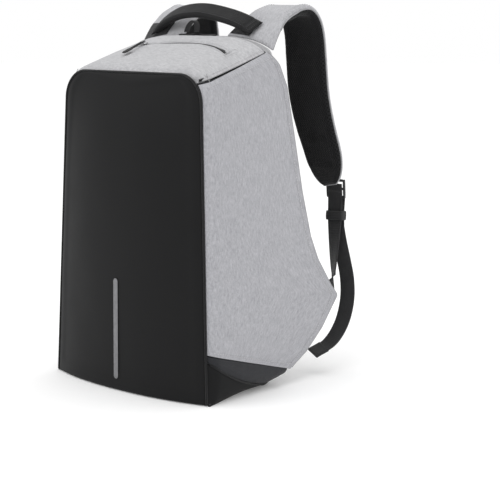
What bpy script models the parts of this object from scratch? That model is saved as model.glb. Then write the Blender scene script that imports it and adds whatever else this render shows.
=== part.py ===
"""Hard-shell daypack with a charging port, standing upright.

Metres, +Z up. The black front panel faces -Y and the wearer's side faces +Y. The shapes are
worked out with y = 0 at the front bottom edge, and every object is then moved by SHIFT_Y so
that the origin is at the bottom centre of the whole pack.
"""

from math import cos, pi, sin, sqrt

import bmesh
import bpy
from mathutils import Matrix, Vector

SHIFT_Y = -0.1320

# Front panel: half width at the floor, taper and lean per metre of height, top corners, crown.
FRONT_HALF = 0.145
FRONT_TAPER = 0.0438
FRONT_LEAN = 0.0245
FRONT_TOP = 0.415
CORNER_RADIUS = 0.038
CORNER_START = FRONT_TOP - CORNER_RADIUS
CROWN = 0.024
FRONT_THICK = 0.0035
FRONT_EDGE_GAP = 0.0024
PIPING_RADIUS = 0.0014
SIDE_START = 0.0042

# Soft sides.
SIDE_BULGE = 0.010
SIDE_THICK = 0.0035
SIDE_REAR_HALF = ((0.0, 0.146), (0.20, 0.146), (0.35, 0.137), (0.44, 0.131), (0.47, 0.131))
REAR_LOW = ((0.022, 0.157), (0.041, 0.190), (0.069, 0.222), (0.109, 0.254))
REAR_HIGH = (
    (0.109, 0.254), (0.125, 0.240), (0.163, 0.213), (0.197, 0.197), (0.256, 0.184),
    (0.328, 0.173), (0.395, 0.162), (0.423, 0.149), (0.441, 0.131),
)
LEAF_FRONT_Z = 0.065
LEAF_REAR_Z = 0.022
SEAM_FRONT_Z = 0.403
SEAM_REAR_Z = 0.441
SEAM_DEPTH = 0.129

# Lid.
LID_FRONT_Y = 0.0145
LID_REAR_Y = 0.1275
LID_THICK = 0.004
LID_PIVOT = (0.0, 0.0105, 0.4120)
LID_SLIDER_X = -0.0600
LID_PULL_AWAY = (-0.15, 1.0, 0.34)
ZIP_CENTRE = (0.012, -0.140)
ZIP_RADIUS = 0.240
ZIP_LEFT_X = -0.075
ZIP_RIGHT_X = 0.103
ZIP_HALF_GAP = 0.0032

# Back panel, outer profile from the floor up to the crest at x = 0.
BACK_PROFILE = (
    (0.1515, 0.0118), (0.158, 0.024), (0.166, 0.080), (0.173, 0.160), (0.176, 0.240),
    (0.171, 0.320), (0.162, 0.390), (0.154, 0.432), (0.147, 0.452), (0.141, 0.4605),
    (0.1365, 0.4610),
)
BACK_THICK = 0.008

# Shoulder strap centre line on the right: x, y, z, width.
STRAP_PATH = (
    (0.0830, 0.146, 0.4590, 0.084), (0.0840, 0.160, 0.4700, 0.080), (0.0850, 0.176, 0.4815, 0.074),
    (0.0870, 0.1930, 0.4920, 0.069), (0.0900, 0.2085, 0.4970, 0.067), (0.0940, 0.2225, 0.4935, 0.067),
    (0.0975, 0.2320, 0.4800, 0.0675), (0.0990, 0.2370, 0.4590, 0.068), (0.1000, 0.2395, 0.4280, 0.069),
    (0.1015, 0.2430, 0.3850, 0.069), (0.1060, 0.2500, 0.3440, 0.067), (0.1140, 0.2580, 0.3040, 0.063),
    (0.1225, 0.2660, 0.2580, 0.057),
)
STRAP_ROOT_END = 0.147
STRAP_FOAM = 0.010
STRAP_MESH = 0.003
WEB_WIDTH = 0.025
WEB_THICK = 0.0018
WEB_PATH = (
    (0.1230, 0.2745, 0.2440), (0.1240, 0.2735, 0.2250), (0.1260, 0.2700, 0.1950),
    (0.1295, 0.2650, 0.1650), (0.1345, 0.2590, 0.1390),
)
FOLD_PATH = ((0.1235, 0.2798, 0.2360), (0.1243, 0.2776, 0.2180), (0.1260, 0.2760, 0.2012))
TAIL_PATH = (
    (0.1261, 0.2759, 0.2000), (0.1280, 0.2792, 0.1800), (0.1308, 0.2842, 0.1550),
    (0.1365, 0.2858, 0.1250), (0.1395, 0.2822, 0.0950), (0.1385, 0.2716, 0.0650),
    (0.1330, 0.2540, 0.0410), (0.1205, 0.2310, 0.0265),
)
LOCK_Z = 0.2520
KEEPER_PLACE = 0.34

HANDLE_PATH = (
    (-0.0975, 0.1486, 0.4714), (-0.0880, 0.1500, 0.4766), (-0.0640, 0.1514, 0.4885),
    (-0.0320, 0.1515, 0.4935), (0.0050, 0.1515, 0.4910), (0.0450, 0.1515, 0.4840),
    (0.0720, 0.1510, 0.4775), (0.0890, 0.1500, 0.4735),
)


def clear_scene():
    for obj in list(bpy.data.objects):
        bpy.data.objects.remove(obj, do_unlink=True)


def interpolate(pairs, value):
    """Straight-line reading of a table of (position, value)."""
    if value <= pairs[0][0]:
        return pairs[0][1]
    for (x0, y0), (x1, y1) in zip(pairs, pairs[1:]):
        if value <= x1:
            return y0 + (y1 - y0) * (value - x0) / (x1 - x0)
    return pairs[-1][1]


def spline(points, t):
    """Catmull-Rom curve through points of any size, t from 0 to 1."""
    count = len(points) - 1
    place = min(max(t, 0.0), 1.0) * count
    i = min(int(place), count - 1)
    f = place - i
    p1 = points[i]
    p2 = points[i + 1]
    p0 = points[i - 1] if i > 0 else [2 * a - b for a, b in zip(p1, p2)]
    p3 = points[i + 2] if i + 2 <= count else [2 * b - a for a, b in zip(p1, p2)]
    return [
        0.5 * (2 * b + (c - a) * f + (2 * a - 5 * b + 4 * c - d) * f * f + (3 * b - a - 3 * c + d) * f ** 3)
        for a, b, c, d in zip(p0, p1, p2, p3)
    ]


def smooth(t):
    t = min(max(t, 0.0), 1.0)
    return t * t * (3 - 2 * t)


# ---- surfaces of the bag -----------------------------------------------------------------


def front_half(z):
    """Half width of the front panel's seam at height z, with the round top corners."""
    if z <= CORNER_START:
        return FRONT_HALF - FRONT_TAPER * z
    rise = min(z, FRONT_TOP) - CORNER_START
    straight = FRONT_HALF - FRONT_TAPER * CORNER_START
    return straight - CORNER_RADIUS + sqrt(max(CORNER_RADIUS ** 2 - rise ** 2, 0.0))


def front_y(x, z):
    """The crowned face of the front panel."""
    fade = 1 - (max(z - 0.15, 0.0) / 0.27) ** 4
    crown = (0.022 + 0.002 * min(z / 0.15, 1.0)) * fade
    across = min(abs(x) / max(front_half(z), 0.03), 1.0)
    return FRONT_LEAN * z - crown * (1 - across ** 2.3)


def seam_z(y):
    return SEAM_FRONT_Z + (SEAM_REAR_Z - SEAM_FRONT_Z) * min(max(y / SEAM_DEPTH, 0.0), 1.05)


def corner_radius(y):
    return CORNER_RADIUS - 0.012 * min(max(y / SEAM_DEPTH, 0.0), 1.0)


def side_x(y, z):
    """Outer face of a side panel, as a distance from the middle of the bag."""
    inset = max(y - FRONT_LEAN * z, 0.0)
    near = FRONT_HALF - FRONT_TAPER * z + SIDE_BULGE * sin(pi / 2 * min(max(inset - 0.002, 0.0) / 0.014, 1.0))
    share = smooth(y / 0.17)
    width = near + (interpolate(SIDE_REAR_HALF, z) - near) * share + 0.003 * sin(pi * min(y / 0.17, 1.0))
    radius = corner_radius(y)
    rise = z - (seam_z(y) - 0.707 * radius)
    if rise > 0:
        width -= radius - sqrt(max(radius ** 2 - rise ** 2, 0.0))
    return width


def rear_y(z):
    return interpolate(REAR_LOW, z) if z < 0.109 else interpolate(REAR_HIGH, z)


def leaf_z(y):
    """Height of the lower edge of a side panel."""
    return LEAF_FRONT_Z + (LEAF_REAR_Z - LEAF_FRONT_Z) * min(max(y / 0.157, 0.0), 1.0)


def lid_half(y):
    return side_x(y, seam_z(y)) - 0.0030


def lid_z(x, y):
    """Outer face of the lid."""
    depth = min(max(y / SEAM_DEPTH, 0.0), 1.1)
    height = 0.0115 + 0.0055 * depth
    across = min(abs(x) / lid_half(y), 1.0)
    roll = 0.0045 * max(1 - (y - LID_FRONT_Y) / 0.012, 0.0) ** 2
    return seam_z(y) + 0.0030 - roll + height * (1 - across ** (6 - 2 * min(depth, 1.0)))


def back_half(z):
    return side_x(0.16, min(z, 0.432)) - SIDE_THICK - 0.0022


def back_point(x_share, t, depth=0.0):
    """A point on the back panel, or depth inside it."""
    y, z = spline(BACK_PROFILE, t)
    y0, z0 = spline(BACK_PROFILE, max(t - 0.01, 0.0))
    y1, z1 = spline(BACK_PROFILE, min(t + 0.01, 1.0))
    along = Vector((0.0, y1 - y0, z1 - z0)).normalized()
    x = x_share * back_half(z)
    drop = 0.0175 * abs(x_share) ** 4 * smooth((z - 0.37) / 0.08)
    drop -= 0.012 * abs(x_share) ** 4 * (1 - smooth((z - 0.01) / 0.07))
    return Vector((x, y - depth * along.z, z - drop + depth * along.y))


def floor_x(y):
    """Where the bottom leaves the floor, as a distance from the middle of the bag."""
    return interpolate(((0.0, 0.150), (0.03, 0.140), (0.085, 0.118), (0.15, 0.104)), y)


def under_point(y, angle):
    """The lower flank, from a side panel's lower edge (0) down and in to the floor (90 degrees)."""
    top = leaf_z(y)
    outer = side_x(y, top)
    inner = floor_x(y)
    lift = 0.010 * max((y - 0.115) / 0.04, 0.0) ** 2
    return Vector((inner + (outer - inner) * cos(angle), y, lift + (top - lift) * (1 - sin(angle))))


def leaf_angle(y):
    """Where the dark gusset ends and the black bottom begins on the flank."""
    return interpolate(((0.0, 0.10), (0.02, 0.29), (0.053, 0.52), (0.10, 0.80), (0.15, 1.30)), y)


# ---- building objects --------------------------------------------------------------------


def material(name, colour, roughness, metallic=0.0):
    made = bpy.data.materials.new(name)
    made.use_nodes = True
    shader = made.node_tree.nodes["Principled BSDF"]
    shader.inputs["Base Color"].default_value = (*colour, 1.0)
    shader.inputs["Roughness"].default_value = roughness
    shader.inputs["Metallic"].default_value = metallic
    return made


def add_object(name, mesh, skin, pivot=(0.0, 0.0, 0.0)):
    """Link a mesh made in the bag's own coordinates, with its origin on the pivot."""
    mesh.transform(Matrix.Translation(-Vector(pivot)))
    mesh.materials.append(skin)
    obj = bpy.data.objects.new(name, mesh)
    obj.location = (pivot[0], pivot[1] + SHIFT_Y, pivot[2])
    PACK.objects.link(obj)
    return obj


def sheet_mesh(name, rows, columns, point, left_out=None):
    """An open sheet mapped from a grid; left_out(u, v) drops the faces centred there."""
    bm = bmesh.new()
    bmesh.ops.create_grid(bm, x_segments=rows, y_segments=columns, size=0.5)
    if left_out:
        dropped = []
        for face in bm.faces:
            middle = face.calc_center_median()
            if left_out(middle.x + 0.5, middle.y + 0.5):
                dropped.append(face)
        bmesh.ops.delete(bm, geom=dropped, context="FACES")
    for vert in bm.verts:
        vert.co = Vector(point(vert.co.x + 0.5, vert.co.y + 0.5))
    mesh = bpy.data.meshes.new(name)
    bm.to_mesh(mesh)
    bm.free()
    return mesh


def sheet(name, skin, rows, columns, point, thickness, offset=-1.0, left_out=None, pivot=(0, 0, 0),
          round_off=0.0):
    """A sheet with a thickness: offset -1 thickens it behind its face, 0 to both sides."""
    obj = add_object(name, sheet_mesh(name, rows, columns, point, left_out), skin, pivot)
    solidify = obj.modifiers.new("thickness", "SOLIDIFY")
    solidify.thickness = thickness
    solidify.offset = offset
    solidify.use_even_offset = True
    if round_off:
        bevel = obj.modifiers.new("round_edges", "BEVEL")
        bevel.width = round_off
        bevel.segments = 2
        bevel.limit_method = "ANGLE"
        bevel.angle_limit = 1.0
    return obj


def box(name, skin, size, centre, rotation=None, pivot=(0, 0, 0), round_off=0.0, segments=2):
    """A cuboid with rounded edges, turned about its centre."""
    bm = bmesh.new()
    bmesh.ops.create_cube(bm, size=1.0)
    bmesh.ops.scale(bm, vec=size, verts=bm.verts)
    if round_off:
        bmesh.ops.bevel(
            bm, geom=list(bm.edges), offset=round_off, segments=segments, profile=0.5, affect="EDGES"
        )
    turn = rotation.to_4x4() if rotation else Matrix.Identity(4)
    bm.transform(Matrix.Translation(Vector(centre)) @ turn)
    mesh = bpy.data.meshes.new(name)
    bm.to_mesh(mesh)
    bm.free()
    return add_object(name, mesh, skin, pivot)


def tube(name, skin, points, radius, pivot=(0, 0, 0), resolution=2):
    """A round cord through points, with filled ends."""
    curve = bpy.data.curves.new(name, "CURVE")
    curve.dimensions = "3D"
    curve.bevel_depth = radius
    curve.bevel_resolution = resolution
    curve.use_fill_caps = True
    line = curve.splines.new("POLY")
    line.points.add(len(points) - 1)
    for item, place in zip(line.points, points):
        item.co = (*(Vector(place) - Vector(pivot)), 1.0)
    curve.materials.append(skin)
    obj = bpy.data.objects.new(name, curve)
    obj.location = (pivot[0], pivot[1] + SHIFT_Y, pivot[2])
    PACK.objects.link(obj)
    return obj


def ribbon_frame(path, t, side):
    """Centre, tangent, width direction and outward normal of a ribbon that runs along a path."""
    place = spline(path, t)
    before = spline(path, max(t - 0.01, 0.0))
    after = spline(path, min(t + 0.01, 1.0))
    centre = Vector((side * place[0], place[1], place[2]))
    tangent = Vector((side * (after[0] - before[0]), after[1] - before[1], after[2] - before[2])).normalized()
    across = Vector((1.0, 0.0, 0.0))
    across = (across - tangent * across.dot(tangent)).normalized()
    return centre, tangent, across, across.cross(tangent)


def ribbon(name, skin, path, side, rows, columns, width, thickness, lift=0.0, pivot=(0, 0, 0), round_off=0.0,
           start=0.0, end=1.0, bow=None):
    """A strip along a path. width is a function of t, lift moves it along its outward normal."""

    def point(u, v):
        t = start + (end - start) * u
        centre, tangent, across, normal = ribbon_frame(path, t, side)
        slide = bow(u, v) if bow else 0.0
        return centre + across * ((v - 0.5) * width(t)) + normal * lift + tangent * slide

    return sheet(name, skin, rows, columns, point, thickness, 0.0, None, pivot, round_off)


def combine(target, other, operation):
    """A Boolean of a part with a helper, which is kept out of the pack's own collection."""
    other.hide_render = True
    other.display_type = "WIRE"
    PACK.objects.unlink(other)
    HELPERS.objects.link(other)
    change = target.modifiers.new(operation.lower(), "BOOLEAN")
    change.operation = operation
    change.solver = "EXACT"
    change.object = other


def cut(target, cutter):
    combine(target, cutter, "DIFFERENCE")


def join(target, addition):
    combine(target, addition, "UNION")


# ---- shell -------------------------------------------------------------------------------


def front_height(v):
    """Rows of the front panel: even up to the corners, then following their curve."""
    if v <= 0.7:
        return 0.004 + (CORNER_START - 0.004) * v / 0.7
    return CORNER_START + (CORNER_RADIUS - FRONT_EDGE_GAP) * sin(pi / 2 * (v - 0.7) / 0.3)


def make_front_panel():
    def point(u, v):
        z = front_height(v)
        rise = max(z - CORNER_START, 0.0)
        inner = CORNER_RADIUS - FRONT_EDGE_GAP
        straight = FRONT_HALF - FRONT_TAPER * min(z, CORNER_START) - FRONT_EDGE_GAP
        half = straight - inner + sqrt(max(inner ** 2 - rise ** 2, 0.0))
        x = half * (2 * u - 1)
        return x, front_y(x, z), z

    sheet("front_panel", BLACK_SHELL, 12, 17, point, FRONT_THICK)


def front_seam(points_per_side=8, inset=0.0004, depth=0.0012):
    """The seam line round the front panel, from the left foot over the top to the right foot."""
    right = []
    for i in range(points_per_side):
        z = 0.006 + (CORNER_START - 0.006) * i / (points_per_side - 1)
        right.append((front_half(z) - inset, FRONT_LEAN * z + depth, z))
    radius = CORNER_RADIUS - inset
    straight = FRONT_HALF - FRONT_TAPER * CORNER_START - inset
    for i in range(1, 7):
        angle = pi / 2 * i / 7
        z = CORNER_START + radius * sin(angle)
        right.append((straight - radius + radius * cos(angle), FRONT_LEAN * z + depth, z))
    for x in (0.085, 0.06, 0.03, 0.0):
        z = CORNER_START + radius + 0.0006 * (1 - (x / 0.085) ** 2)
        right.append((x, FRONT_LEAN * z + depth, z))
    left = [(-x, y, z) for x, y, z in right[:-1]]
    return left + right[::-1]


def make_front_piping():
    tube("front_piping", BLACK_TRIM, front_seam(), PIPING_RADIUS, (0, 0, 0), 1)


def make_reflective_strip():
    def point(u, v):
        z = 0.016 + 0.134 * v
        end = min(v, 1 - v) * 0.134
        half = sqrt(max(0.004 ** 2 - max(0.004 - end, 0.0) ** 2, 0.0)) * 0.999 + 0.0008
        x = half * (2 * u - 1)
        return x, front_y(x, z) - 0.0004, z

    sheet("reflective_strip", GREY_STRIP, 2, 12, point, 0.0006, 1.0)


def side_point(side, u, v):
    """A Coons patch between the leaf line, the top seam, the front seam and the rear edge."""
    front_start = SIDE_START
    z_front = LEAF_FRONT_Z + (SEAM_FRONT_Z - 0.001 - LEAF_FRONT_Z) * v
    z_rear = LEAF_REAR_Z + (SEAM_REAR_Z - 0.001 - LEAF_REAR_Z) * rear_share(v)
    front = Vector((FRONT_LEAN * z_front + front_start, z_front))
    rear = Vector((rear_y(z_rear), z_rear))
    low = Vector((front_start + (0.157 - front_start) * u, 0.0))
    low.y = leaf_z(low.x)
    high = Vector((0.016 + (0.131 - 0.016) * u, 0.0))
    high.y = seam_z(high.x) - 0.001
    corners = (
        Vector((front_start, leaf_z(front_start))), Vector((0.157, LEAF_REAR_Z)),
        Vector((0.016, seam_z(0.016) - 0.001)), Vector((0.131, seam_z(0.131) - 0.001)),
    )
    flat = (
        low * (1 - v) + high * v + front * (1 - u) + rear * u
        - corners[0] * (1 - u) * (1 - v) - corners[1] * u * (1 - v)
        - corners[2] * (1 - u) * v - corners[3] * u * v
    )
    return Vector((side * side_x(flat.x, flat.y), flat.x, flat.y))


def rear_share(v):
    """Rows of the side panel, set so that one row meets the wing's tip."""
    tip = (0.109 - LEAF_REAR_Z) / (SEAM_REAR_Z - 0.001 - LEAF_REAR_Z)
    return tip * v / 0.25 if v < 0.25 else tip + (1 - tip) * (v - 0.25) / 0.75


def make_side_panel(side, label):
    def point(u, v):
        across = u if side > 0 else 1 - u
        return side_point(side, across * (0.4 + 0.6 * across), v)

    return sheet(f"side_panel_{label}", GREY_FABRIC, 10, 16, point, SIDE_THICK)


def make_gusset(side, label):
    """The dark leaf-shaped gusset under a side panel."""

    def point(u, v):
        share = u if side > 0 else 1 - u
        y = 0.012 + (0.150 - 0.012) * share
        top = 0.060 + 0.060 * share
        angle = top + max(leaf_angle(y) - 0.03 - top, 0.03) * (1 - v)
        place = under_point(y, angle)
        return side * place.x, place.y, place.z

    sheet(f"bottom_gusset_{label}", DARK_FABRIC, 8, 3, point, 0.003)


def make_bottom_panel():
    """The floor of the bag, with a flank up each side to the gusset."""
    flank = 3
    flat = 6
    count = 2 * flank + flat

    def point(u, v):
        column = round(u * count)
        y_side = 0.0045 + (0.150 - 0.0045) * v
        if flank <= column <= count - flank:
            share = 2 * (column - flank) / flat - 1
            x = share * floor_x(y_side)
            front = front_y(x, 0.0) + 0.0045
            y = front + (0.150 - front) * v
            return x, y, 0.010 * max((y - 0.115) / 0.04, 0.0) ** 2
        side = -1 if column < flank else 1
        up = (flank - column) / flank if side < 0 else (column - count + flank) / flank
        angle = pi / 2 + (leaf_angle(y_side) + 0.03 - pi / 2) * up
        place = under_point(y_side, angle)
        return side * place.x, place.y, place.z

    sheet("bottom_panel", BLACK_SHELL, count, 8, point, 0.003, 1.0)


LIP_FRONT = 0.625
LIP_REAR = 0.75


def lid_rows(x, v):
    """y on the lid: two rows of the grid follow the pocket zip's two lips."""
    along = min(max(x, ZIP_LEFT_X - 0.02), ZIP_RIGHT_X + 0.01)
    arc = ZIP_CENTRE[1] + sqrt(ZIP_RADIUS ** 2 - (along - ZIP_CENTRE[0]) ** 2)
    if v <= LIP_FRONT:
        return LID_FRONT_Y + (arc - ZIP_HALF_GAP - LID_FRONT_Y) * v / LIP_FRONT
    if v <= LIP_REAR:
        return arc - ZIP_HALF_GAP + 2 * ZIP_HALF_GAP * (v - LIP_FRONT) / (LIP_REAR - LIP_FRONT)
    return arc + ZIP_HALF_GAP + (LID_REAR_Y - arc - ZIP_HALF_GAP) * (v - LIP_REAR) / (1 - LIP_REAR)


LID_COLUMNS = (
    -1.0, -0.96, -0.90, -0.82, -0.73, -0.615, -0.50, -0.375, -0.25, -0.125, 0.0, 0.125, 0.25,
    0.375, 0.50, 0.615, 0.73, 0.843, 0.90, 0.96, 1.0,
)


def lid_point(u, v, sink=0.0):
    place = u * (len(LID_COLUMNS) - 1)
    i = min(int(place), len(LID_COLUMNS) - 2)
    share = LID_COLUMNS[i] + (LID_COLUMNS[i + 1] - LID_COLUMNS[i]) * (place - i)
    x_guess = share * 0.1225
    y = lid_rows(x_guess, v)
    x = share * lid_half(y)
    return Vector((x, y, lid_z(x, y) - sink))


def in_zip_slot(u, v):
    """Columns 5 to 17 of the one grid row between the lips."""
    return 0.25 < u < 0.85 and LIP_FRONT < v < LIP_REAR


def make_lid():
    sheet("top_lid", GREY_FABRIC, 20, 8, lid_point, LID_THICK, -1.0, in_zip_slot, LID_PIVOT)


def zip_arc_point(x, offset=0.0, sink=0.0):
    y = ZIP_CENTRE[1] + sqrt((ZIP_RADIUS + offset) ** 2 - (x - ZIP_CENTRE[0]) ** 2)
    return Vector((x, y, lid_z(x, y) - sink))


def make_pocket_zip_tape():
    def point(u, v):
        x = ZIP_LEFT_X + 0.002 + (ZIP_RIGHT_X - ZIP_LEFT_X - 0.004) * u
        return zip_arc_point(x, 0.012 * (v - 0.5), LID_THICK + 0.0006)

    sheet("pocket_zip_tape", BLACK_TRIM, 16, 1, point, 0.0010, -1.0, None, LID_PIVOT)
    points = [zip_arc_point(ZIP_LEFT_X + 0.003 + (ZIP_RIGHT_X - ZIP_LEFT_X - 0.006) * i / 16, 0.0, 0.0022)
              for i in range(17)]
    tube("pocket_zip_coil", BLACK_TRIM, points, 0.0016, LID_PIVOT, 1)


def make_top_pocket():
    """The shallow bag that the pocket zip opens into, hanging under the lid."""

    def point(u, v):
        x = -0.090 + 0.190 * u
        y = 0.040 + 0.078 * v
        edge = min(u, 1 - u, v * 0.5, (1 - v) * 0.5) * 8
        sag = 0.022 * smooth(edge)
        return Vector((x, y, lid_z(x, y) - LID_THICK - 0.0030 - sag))

    sheet("lid_pocket", DARK_LINING, 10, 6, point, 0.0010, -1.0, None, LID_PIVOT)


# ---- zip sliders -------------------------------------------------------------------------


def frame_from(along, up):
    """Turn whose X is along, and whose Z is as near up as it can be."""
    along = Vector(along).normalized()
    up = (Vector(up) - along * Vector(up).dot(along)).normalized()
    return Matrix((along, up.cross(along), up)).transposed()


def make_slider(name, centre, track_turn, pull_turn):
    """A zip slider: a flat body along its track and a pierced lug that holds the pull."""
    up = track_turn @ Vector((0, 0, 1))
    slider = box(name, METAL, (0.0110, 0.0072, 0.0026), centre + up * 0.0016, track_turn, centre, 0.0007, 1)
    bridge = centre + up * 0.0040
    lug = box("lug_block", METAL, (0.0080, 0.0030, 0.0034), bridge, pull_turn, centre)
    join(slider, lug)
    bail = box("bail_cutter", METAL, (0.0045, 0.0200, 0.0020), bridge - up * 0.0001, pull_turn, centre)
    cut(slider, bail)
    return bridge


def pull_tab(name, pivot, turn, length, width):
    """A flat pull whose eye passes through the slider's lug, lying along -X of its frame."""
    wide = width / 2
    loop = [
        (0.0008, 0.0028), (-0.0030, 0.0034), (-0.0060, wide), (-length + 0.001, wide), (-length, wide - 0.001),
        (-length, -wide + 0.001), (-length + 0.001, -wide), (-0.0060, -wide), (-0.0030, -0.0034), (0.0008, -0.0028),
    ]
    eye = [(-0.0006, 0.0019), (-0.0052, 0.0019), (-0.0052, -0.0019), (-0.0006, -0.0019)]
    bm = bmesh.new()
    rings = []
    for height in (-0.0007, 0.0007):
        rings.append([bm.verts.new((x, y, height)) for x, y in loop])
        rings.append([bm.verts.new((x, y, height)) for x, y in eye])
    fill_plate(bm, rings)
    bm.transform(Matrix.Translation(pivot) @ turn.to_4x4())
    mesh = bpy.data.meshes.new(name)
    bm.to_mesh(mesh)
    bm.free()
    return add_object(name, mesh, BLACK_TRIM, pivot)


def fill_plate(bm, rings):
    """Close a flat plate with a window between its two outline rings and two window rings."""
    outer_low, inner_low, outer_high, inner_high = rings
    for low, high in ((outer_low, outer_high), (inner_low, inner_high)):
        for i in range(len(low)):
            j = (i + 1) % len(low)
            bm.faces.new((low[i], low[j], high[j], high[i]))
    for outer, inner in ((outer_low, inner_low), (outer_high, inner_high)):
        edges = []
        for ring in (outer, inner):
            for i in range(len(ring)):
                j = (i + 1) % len(ring)
                edges.append(bm.edges.get((ring[i], ring[j])) or bm.edges.new((ring[i], ring[j])))
        bmesh.ops.triangle_fill(bm, use_beauty=True, edges=edges)
    bmesh.ops.recalc_face_normals(bm, faces=bm.faces)


def make_lid_zip():
    centre = zip_arc_point(LID_SLIDER_X, 0.0, -0.0011)
    along = zip_arc_point(LID_SLIDER_X + 0.004) - zip_arc_point(LID_SLIDER_X - 0.004)
    across = zip_arc_point(LID_SLIDER_X, 0.004) - zip_arc_point(LID_SLIDER_X, -0.004)
    up = along.cross(across)
    pull_turn = frame_from(LID_PULL_AWAY, up)
    bridge = make_slider("pocket_zip_slider", centre, frame_from(along, up), pull_turn)
    pull_tab("pocket_zip_pull", bridge, pull_turn, 0.043, 0.0085)


def rear_track(x):
    return Vector((x, 0.1320, lid_z(x, LID_REAR_Y) - 0.0050))


def main_zip_track():
    """The lid's zip: forward end of the left seam, round the back, to the right seam's end."""
    right = []
    for i in range(7):
        y = 0.0240 + (0.1180 - 0.0240) * i / 6
        right.append((side_x(y, seam_z(y)) - 0.0022, y, seam_z(y) + 0.0006))
    corner = (
        (0.1240, 0.1282, 0.4396), (0.1218, 0.1318, 0.4404), (0.1150, 0.1322, 0.4414),
    )
    right.extend(corner)
    for x in (0.100, 0.085, 0.065, 0.045, 0.022, 0.0):
        right.append(tuple(rear_track(x)))
    left = [(-x, y, z) for x, y, z in right[:-1]]
    return left + right[::-1]


def make_main_zip():
    tube("main_zip_coil", BLACK_TRIM, main_zip_track(), 0.0013, (0, 0, 0), 1)
    for side, label in ((-1, "left"), (1, "right")):
        centre = rear_track(side * 0.008) + Vector((0, 0, 0.0016))
        turn = frame_from((-side, 0, 0), (0, 0, 1))
        bridge = make_slider(f"main_zip_slider_{label}", centre, turn, turn)
        pull_tab(f"main_zip_pull_{label}", bridge, turn, 0.026, 0.006)


# ---- back --------------------------------------------------------------------------------


def make_back():
    def outer(u, v):
        return back_point(1 - 2 * u, v)

    sheet("back_panel", BLACK_MESH, 8, 16, outer, BACK_THICK)

    def board(u, v):
        return back_point(0.93 * (1 - 2 * u), 0.06 + 0.78 * v, BACK_THICK + 0.0014)

    sheet("back_board", BOARD, 4, 9, board, 0.0020)
    pads = (
        ("back_pad_left", 0.10, 0.72, 0.40, 0.80), ("back_pad_right", -0.72, -0.10, 0.40, 0.80),
        ("lumbar_pad", -0.62, 0.62, 0.12, 0.34),
    )
    for name, x0, x1, t0, t1 in pads:
        make_pad(name, x0, x1, t0, t1)


def make_pad(name, x0, x1, t0, t1):
    """A cushion on the wearer's side of the back panel, with a domed face and round corners."""

    def point(u, v):
        a = 2 * u - 1
        b = 2 * v - 1
        corner_x = a * sqrt(1 - 0.16 * b ** 6)
        corner_z = b * sqrt(1 - 0.10 * a ** 6)
        share = -(x0 + x1) / 2 * 1.0 - (x1 - x0) / 2 * corner_x
        t = (t0 + t1) / 2 + (t1 - t0) / 2 * corner_z
        rise = 0.0055 * (1 - a ** 6) * (1 - b ** 6)
        return back_point(share, t, -0.0065 - rise)

    sheet(name, BLACK_MESH, 6, 8, point, 0.0055)


def make_sleeve():
    """The open-topped laptop sleeve against the back board."""
    open_box("laptop_sleeve", DARK_LINING, (-0.1260, 0.1120, 0.030), (0.1260, 0.1385, 0.310), 0.0015)
    open_box("organiser_pocket", DARK_LINING, (-0.1050, 0.0130, 0.060), (0.1050, 0.0330, 0.250), 0.0015)
    open_box("battery_pocket", DARK_LINING, (-0.1330, 0.0450, 0.060), (-0.1080, 0.1050, 0.170), 0.0015)


def open_box(name, skin, low, high, wall):
    """A pocket: a box with a thin wall, open at the top."""
    size = [b - a for a, b in zip(low, high)]
    centre = [(a + b) / 2 for a, b in zip(low, high)]
    bm = bmesh.new()
    bmesh.ops.create_cube(bm, size=1.0)
    bmesh.ops.scale(bm, vec=size, verts=bm.verts)
    top = [face for face in bm.faces if face.normal.z > 0.5]
    bmesh.ops.delete(bm, geom=top, context="FACES_ONLY")
    bm.transform(Matrix.Translation(Vector(centre)))
    mesh = bpy.data.meshes.new(name)
    bm.to_mesh(mesh)
    bm.free()
    obj = add_object(name, mesh, skin)
    solidify = obj.modifiers.new("wall", "SOLIDIFY")
    solidify.thickness = wall
    solidify.offset = -1.0
    solidify.use_even_offset = True


def make_base_board():
    def point(u, v):
        y = 0.012 + 0.095 * v
        return (2 * u - 1) * (floor_x(y) - 0.008), y, 0.0070

    sheet("base_board", BOARD, 2, 6, point, 0.0025)


# ---- shoulder straps ---------------------------------------------------------------------


def strap_width(t):
    return spline(STRAP_PATH, t)[3]


def strap_outline(t):
    """Width of the strap pad, narrowed to a round toe at its lower end."""
    toe = max(t - 0.94, 0.0) / 0.06
    return strap_width(t) * (1 - 0.45 * toe ** 3)


def make_strap_root(side, label):
    """The end of the strap that is sewn to the crest, and follows its curve down at the outer side."""

    def point(u, v):
        t = STRAP_ROOT_END * u
        centre, _, across, _ = ribbon_frame(STRAP_PATH, t, side)
        place = centre + across * ((v - 0.5) * strap_width(t))
        drop = 0.0155 * min(abs(place.x) / 0.1235, 1.0) ** 4
        return place - Vector((0.0, 0.0, drop * (1 - u) ** 1.5))

    sheet(f"strap_root_{label}", GREY_FABRIC, 4, 8, point, 0.006, 0.0)


def make_strap(side, label):
    pivot = strap_pivot(side)

    def start_bow(u, v):
        return 0.009 * (2 * v - 1) ** 2 * (1 - u) ** 4

    start = STRAP_ROOT_END + 0.012
    ribbon(f"shoulder_strap_{label}", GREY_FABRIC, STRAP_PATH, side, 22, 4, strap_outline, STRAP_FOAM, 0.0020,
           pivot, 0.003, start, 1.0, start_bow)
    ribbon(f"strap_lining_{label}", BLACK_MESH, STRAP_PATH, side, 22, 2, lambda t: strap_outline(t) - 0.006,
           STRAP_MESH, -0.0070, pivot, 0.0, start, 1.0, start_bow)


def strap_pivot(side):
    x, y, z, _ = spline(STRAP_PATH, STRAP_ROOT_END + 0.006)
    return Vector((side * x, y, z))


def web_anchor(side):
    x, y, z = WEB_PATH[-1]
    return Vector((side * (x + 0.003), y - 0.006, z - 0.014))


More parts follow.
